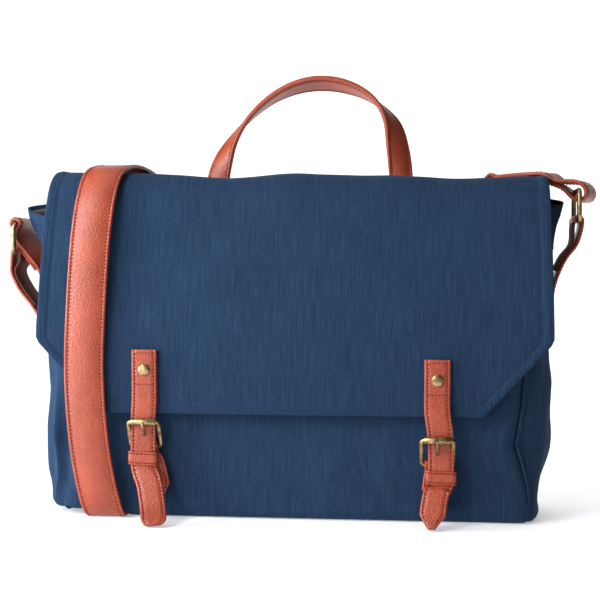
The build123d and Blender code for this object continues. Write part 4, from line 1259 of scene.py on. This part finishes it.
def left_strap(bar, last, last_across):
    """From the loop behind the bag, round the left rear corner and up to the left ring."""
    x, z = bar[0], bar[2]
    reach = -LEFT_CORNER[0] + CORNER_ROUND * math.pi / 2 + LEFT_CORNER[1] - CORNER_ROUND
    rows = [(tuple(last), last_across)]
    main = laid([(-last[0], LEG_TOP + 0.006), (0.1562, 0.1120), (0.1635, 0.1310), (0.1800, 0.1500),
                 (0.2020, 0.1650), (0.2230, 0.1790), (0.2385, 0.1950), (reach - 0.0022, 0.2110),
                 (reach, z - 0.0090)], round_left, 22)
    over = [((p[0], 0.0, p[2]), (0, -1.0, 0)) for p in around_bar(bar, 0.0038, 0, 190, 9)]
    path, across = twisted(rows + main + over, 320)
    join = int(len(path) * LEFT_JOIN)
    corner = path[join]
    how = ("bag", "strap_loop", corner + (0.0010, 0, -0.001), (-0.1560, LEFT_CORNER[1], LEG_TOP + 0.004))
    Strap("shoulder_strap_left_run_leather", path[:join + 1], across[:join + 1], STRAP_WIDTH, STRAP_THICK, how,
          stitch_range=(0, 0), replaces=["shoulder_strap_left_run"], both_sides=True)
    how = ("bag", "left_ring", corner - (0.004, 0.004, -0.004), (x + 0.004, 0, z - 0.002))
    Strap("shoulder_strap_left_end", path[join:], across[join:], STRAP_WIDTH, STRAP_THICK, how,
          stitch_range=(0, 0.004), replaces=["left_ring_strap_end"], both_sides=True)
    under = [((p[0], 0.0, p[2]), (0, -1.0, 0)) for p in around_bar(bar, 0.0038, 185, 290, 6)]
    under += [(place - (0.0031, 0, 0), way) for place, way in main[-1:-5:-1]]
    path, across = twisted(under, 90)
    Strap("shoulder_strap_left_end_inner", path, across, STRAP_WIDTH - 0.001, 0.0027, how,
          stitch_range=(0.004, 0.003), both_sides=True)


def strap_loop():
    """Strap from behind the bag, over the top, down the front, under the base and up the back."""
    z_up = np.array((0, 0, -1.0))
    x_way = np.array((-1.0, 0, 0))
    rows = [((0.050, BEHIND, RUN_Z), z_up), ((0.0, RUN_Y, RUN_Z), z_up), ((-0.050, RUN_Y, RUN_Z), z_up),
            ((-0.085, RUN_Y + 0.0002, RUN_Z + 0.003), (-0.12, 0, -0.99)),
            ((-0.112, RUN_Y + 0.0008, RUN_Z + 0.018), (-0.5, 0, -0.86)),
            ((-0.130, RUN_Y + 0.002, RUN_Z + 0.040), (-0.86, 0, -0.5)),
            ((STRAP_X + 0.0165, RUN_Y + 0.0035, RUN_Z + 0.064), (-0.98, 0, -0.15))]
    over = [(0.0155, 0.0550, 0.2600), (0.014, 0.0440, 0.2750), (0.010, 0.0200, 0.2812),
            (0.005, -0.0100, 0.2812), (0.0015, -0.0330, 0.2735), (-0.0005, -0.0475, 0.2540),
            (-0.0030, -0.0545, 0.2250), (-0.0060, -0.0590, 0.1700), (-0.0075, -0.0602, 0.1150),
            (-0.0040, -0.0600, 0.0620), (0.0020, -0.0590, 0.0250), (0.0055, -0.0560, 0.0090),
            (0.0065, -0.0490, 0.0023), (0.0065, -0.0300, 0.0021), (0.004, 0.0, 0.0021),
            (0.0, 0.0400, 0.0021), (0.0, 0.0500, 0.0038), (0.0, 0.0550, 0.0130),
            (0.0, LEFT_CORNER[1], 0.0400), (0.0, LEFT_CORNER[1], LEG_TOP)]
    rows += [((STRAP_X + dx, y, z), x_way) for dx, y, z in over]
    path, across = twisted(rows, 520)
    how = ("bag", "strap_loop", (0.060, RUN_Y, RUN_Z), (-0.118, RUN_Y, RUN_Z))
    Strap("shoulder_strap_over_front", path, across, STRAP_WIDTH, STRAP_THICK, how, stitch_range=(0, 0),
          replaces=["shoulder_strap_loop", "shoulder_strap_right_run"], both_sides=True)
    return path[-1], across[-1]


LEFT_BAR = side_pieces("left")
right_strap(side_pieces("right"))
left_strap(LEFT_BAR, *strap_loop())


# ------------------------------------------------------------------ handle
def handle():
    """Folded leather handle: flat where it is sewn on, edge-on over the shoulders, twisted between."""
    pivot = joint_at("handle_fold")
    low, high = span("handle")
    y = pivot[1]
    left, right = low[0] + 0.013, high[0] - 0.013
    face = np.array((1.0, 0, 0))
    rows = [((left - 0.001, y - 0.0008, 0.2050), face), ((left - 0.0005, y - 0.0004, 0.2300), face),
            ((left + 0.001, y, 0.2560), face), ((left + 0.0045, y, 0.2820), (0.93, -0.35, 0.1)),
            ((left + 0.0145, y, 0.3060), (0.62, -0.75, 0.2)), ((left + 0.032, y, 0.3290), (0.2, -0.97, 0.1)),
            ((left + 0.056, y, 0.3470), (0.05, -1.0, 0.25)), ((left + 0.083, y, 0.3556), (0, -1.0, 0.42)),
            ((left + 0.110, y, 0.3540), (-0.05, -1.0, 0.42)), ((left + 0.135, y, 0.3430), (-0.2, -0.97, 0.25)),
            ((left + 0.152, y, 0.3230), (-0.62, -0.75, 0.2)),
            ((right - 0.0025, y, 0.2960), (-0.93, -0.35, 0.1)),
            ((right + 0.000, y, 0.2690), (-1.0, 0, 0)), ((right + 0.0005, y - 0.0004, 0.2400), (-1.0, 0, 0)),
            ((right + 0.001, y - 0.0008, 0.2050), (-1.0, 0, 0))]
    path, across = twisted(rows, 260)
    how = ("bag", "handle", (0, y, pivot[2] - 0.008), (0, y, pivot[2] + 0.010))
    Strap("handle_leather", path, across, 0.0205, 0.0040, how, replaces=["handle", "handle_anchors"],
          both_sides=True,
          stitch_range=(0.004, 0.004), groove=0.0026)


handle()

# ------------------------------------------------------------------ CAD pieces that keep their shape
FINISH = {"zip_pocket": LINING_SOLID, "zip_tapes": NAVY_SOLID, "strap_keeper": TERRACOTTA_SOLID}
BRASS_NODES = ("zip_teeth", "zip_slider", "zip_pull", "snap_studs", "strap_adjuster", "left_snap_socket",
               "right_snap_socket", "left_chape_rivet", "right_chape_rivet")
FINISH.update(dict.fromkeys(BRASS_NODES, BRASS))
for name, material in FINISH.items():
    target = frame["nodes"][name]
    target.data.materials.clear()
    target.data.materials.append(material)


# ------------------------------------------------------------------ floor, light and camera
def stage():
    """Plain pale sweep, soft light from the upper left, camera at the front."""
    mat, _, shader = new_material("sweep_white")
    shader.inputs["Base Color"].default_value = (0.78, 0.78, 0.785, 1)
    shader.inputs["Roughness"].default_value = 0.9
    angles = np.linspace(0, math.pi / 2, 30)
    bend = [(1.4 + 1.0 * math.sin(a), 1.0 - 1.0 * math.cos(a)) for a in angles]
    curve = [(-3.2, 0.0), *bend, (2.4, 3.4)]
    points = [(x, y, z) for y, z in curve for x in (-4.0, 4.0)]
    sweep = make_mesh("floor_sweep", points, [tuple(reversed(f)) for f in grid_faces(len(curve), 2)], [mat])
    world = bpy.data.worlds.new("world")
    bpy.context.scene.world = world
    world.use_nodes = True
    world.node_tree.nodes["Background"].inputs[0].default_value = (0.93, 0.96, 1.0, 1)
    world.node_tree.nodes["Background"].inputs[1].default_value = 0.15
    for name, place, size, power, colour in (
            ("key_left", (-0.66, -0.62, 0.78), 0.4, 9.0, (0.97, 0.98, 1.0)),
            ("soft_left", (-0.50, -0.95, 0.30), 0.45, 3.0, (1.0, 0.97, 0.97)),
            ("side_left", (-1.25, -0.42, 0.34), 0.5, 23.0, (0.82, 0.92, 1.0)),
            ("fill_right", (1.6, -1.5, 0.9), 1.6, 1.0, (1.0, 0.93, 0.85)),
            ("top_soft", (-0.1, 0.1, 1.9), 1.5, 8.5, (1.0, 1.0, 1.0)),
            ("back_wash", (0.0, 1.1, 1.6), 2.2, 54.0, (1.0, 1.0, 1.0))):
        data = bpy.data.lights.new(name, "AREA")
        data.energy = power
        data.size = size
        data.color = colour
        lamp = bpy.data.objects.new(name, data)
        bpy.context.scene.collection.objects.link(lamp)
        lamp.location = place
        aim = Vector((0, 1.6, 0.3) if name == "back_wash" else (0, 0, 0.16)) - lamp.location
        lamp.rotation_euler = aim.to_track_quat("-Z", "Y").to_euler()
        if name == "back_wash":
            only_sweep = bpy.data.collections.new("wash_only")
            only_sweep.objects.link(sweep)
            lamp.light_linking.receiver_collection = only_sweep
            lamp.light_linking.blocker_collection = only_sweep
    data = bpy.data.cameras.new("front_camera")
    data.sensor_width = 36.0
    data.lens = 73.1
    camera = bpy.data.objects.new("front_camera", data)
    bpy.context.scene.collection.objects.link(camera)
    camera.location = (0.107, -0.995, 0.207)
    yaw, pitch = math.radians(6.0), math.radians(2.0)
    camera.rotation_euler = (math.pi / 2 - pitch, 0, yaw)
    bpy.context.scene.camera = camera
    bpy.context.scene.view_settings.view_transform = "Standard"


stage()
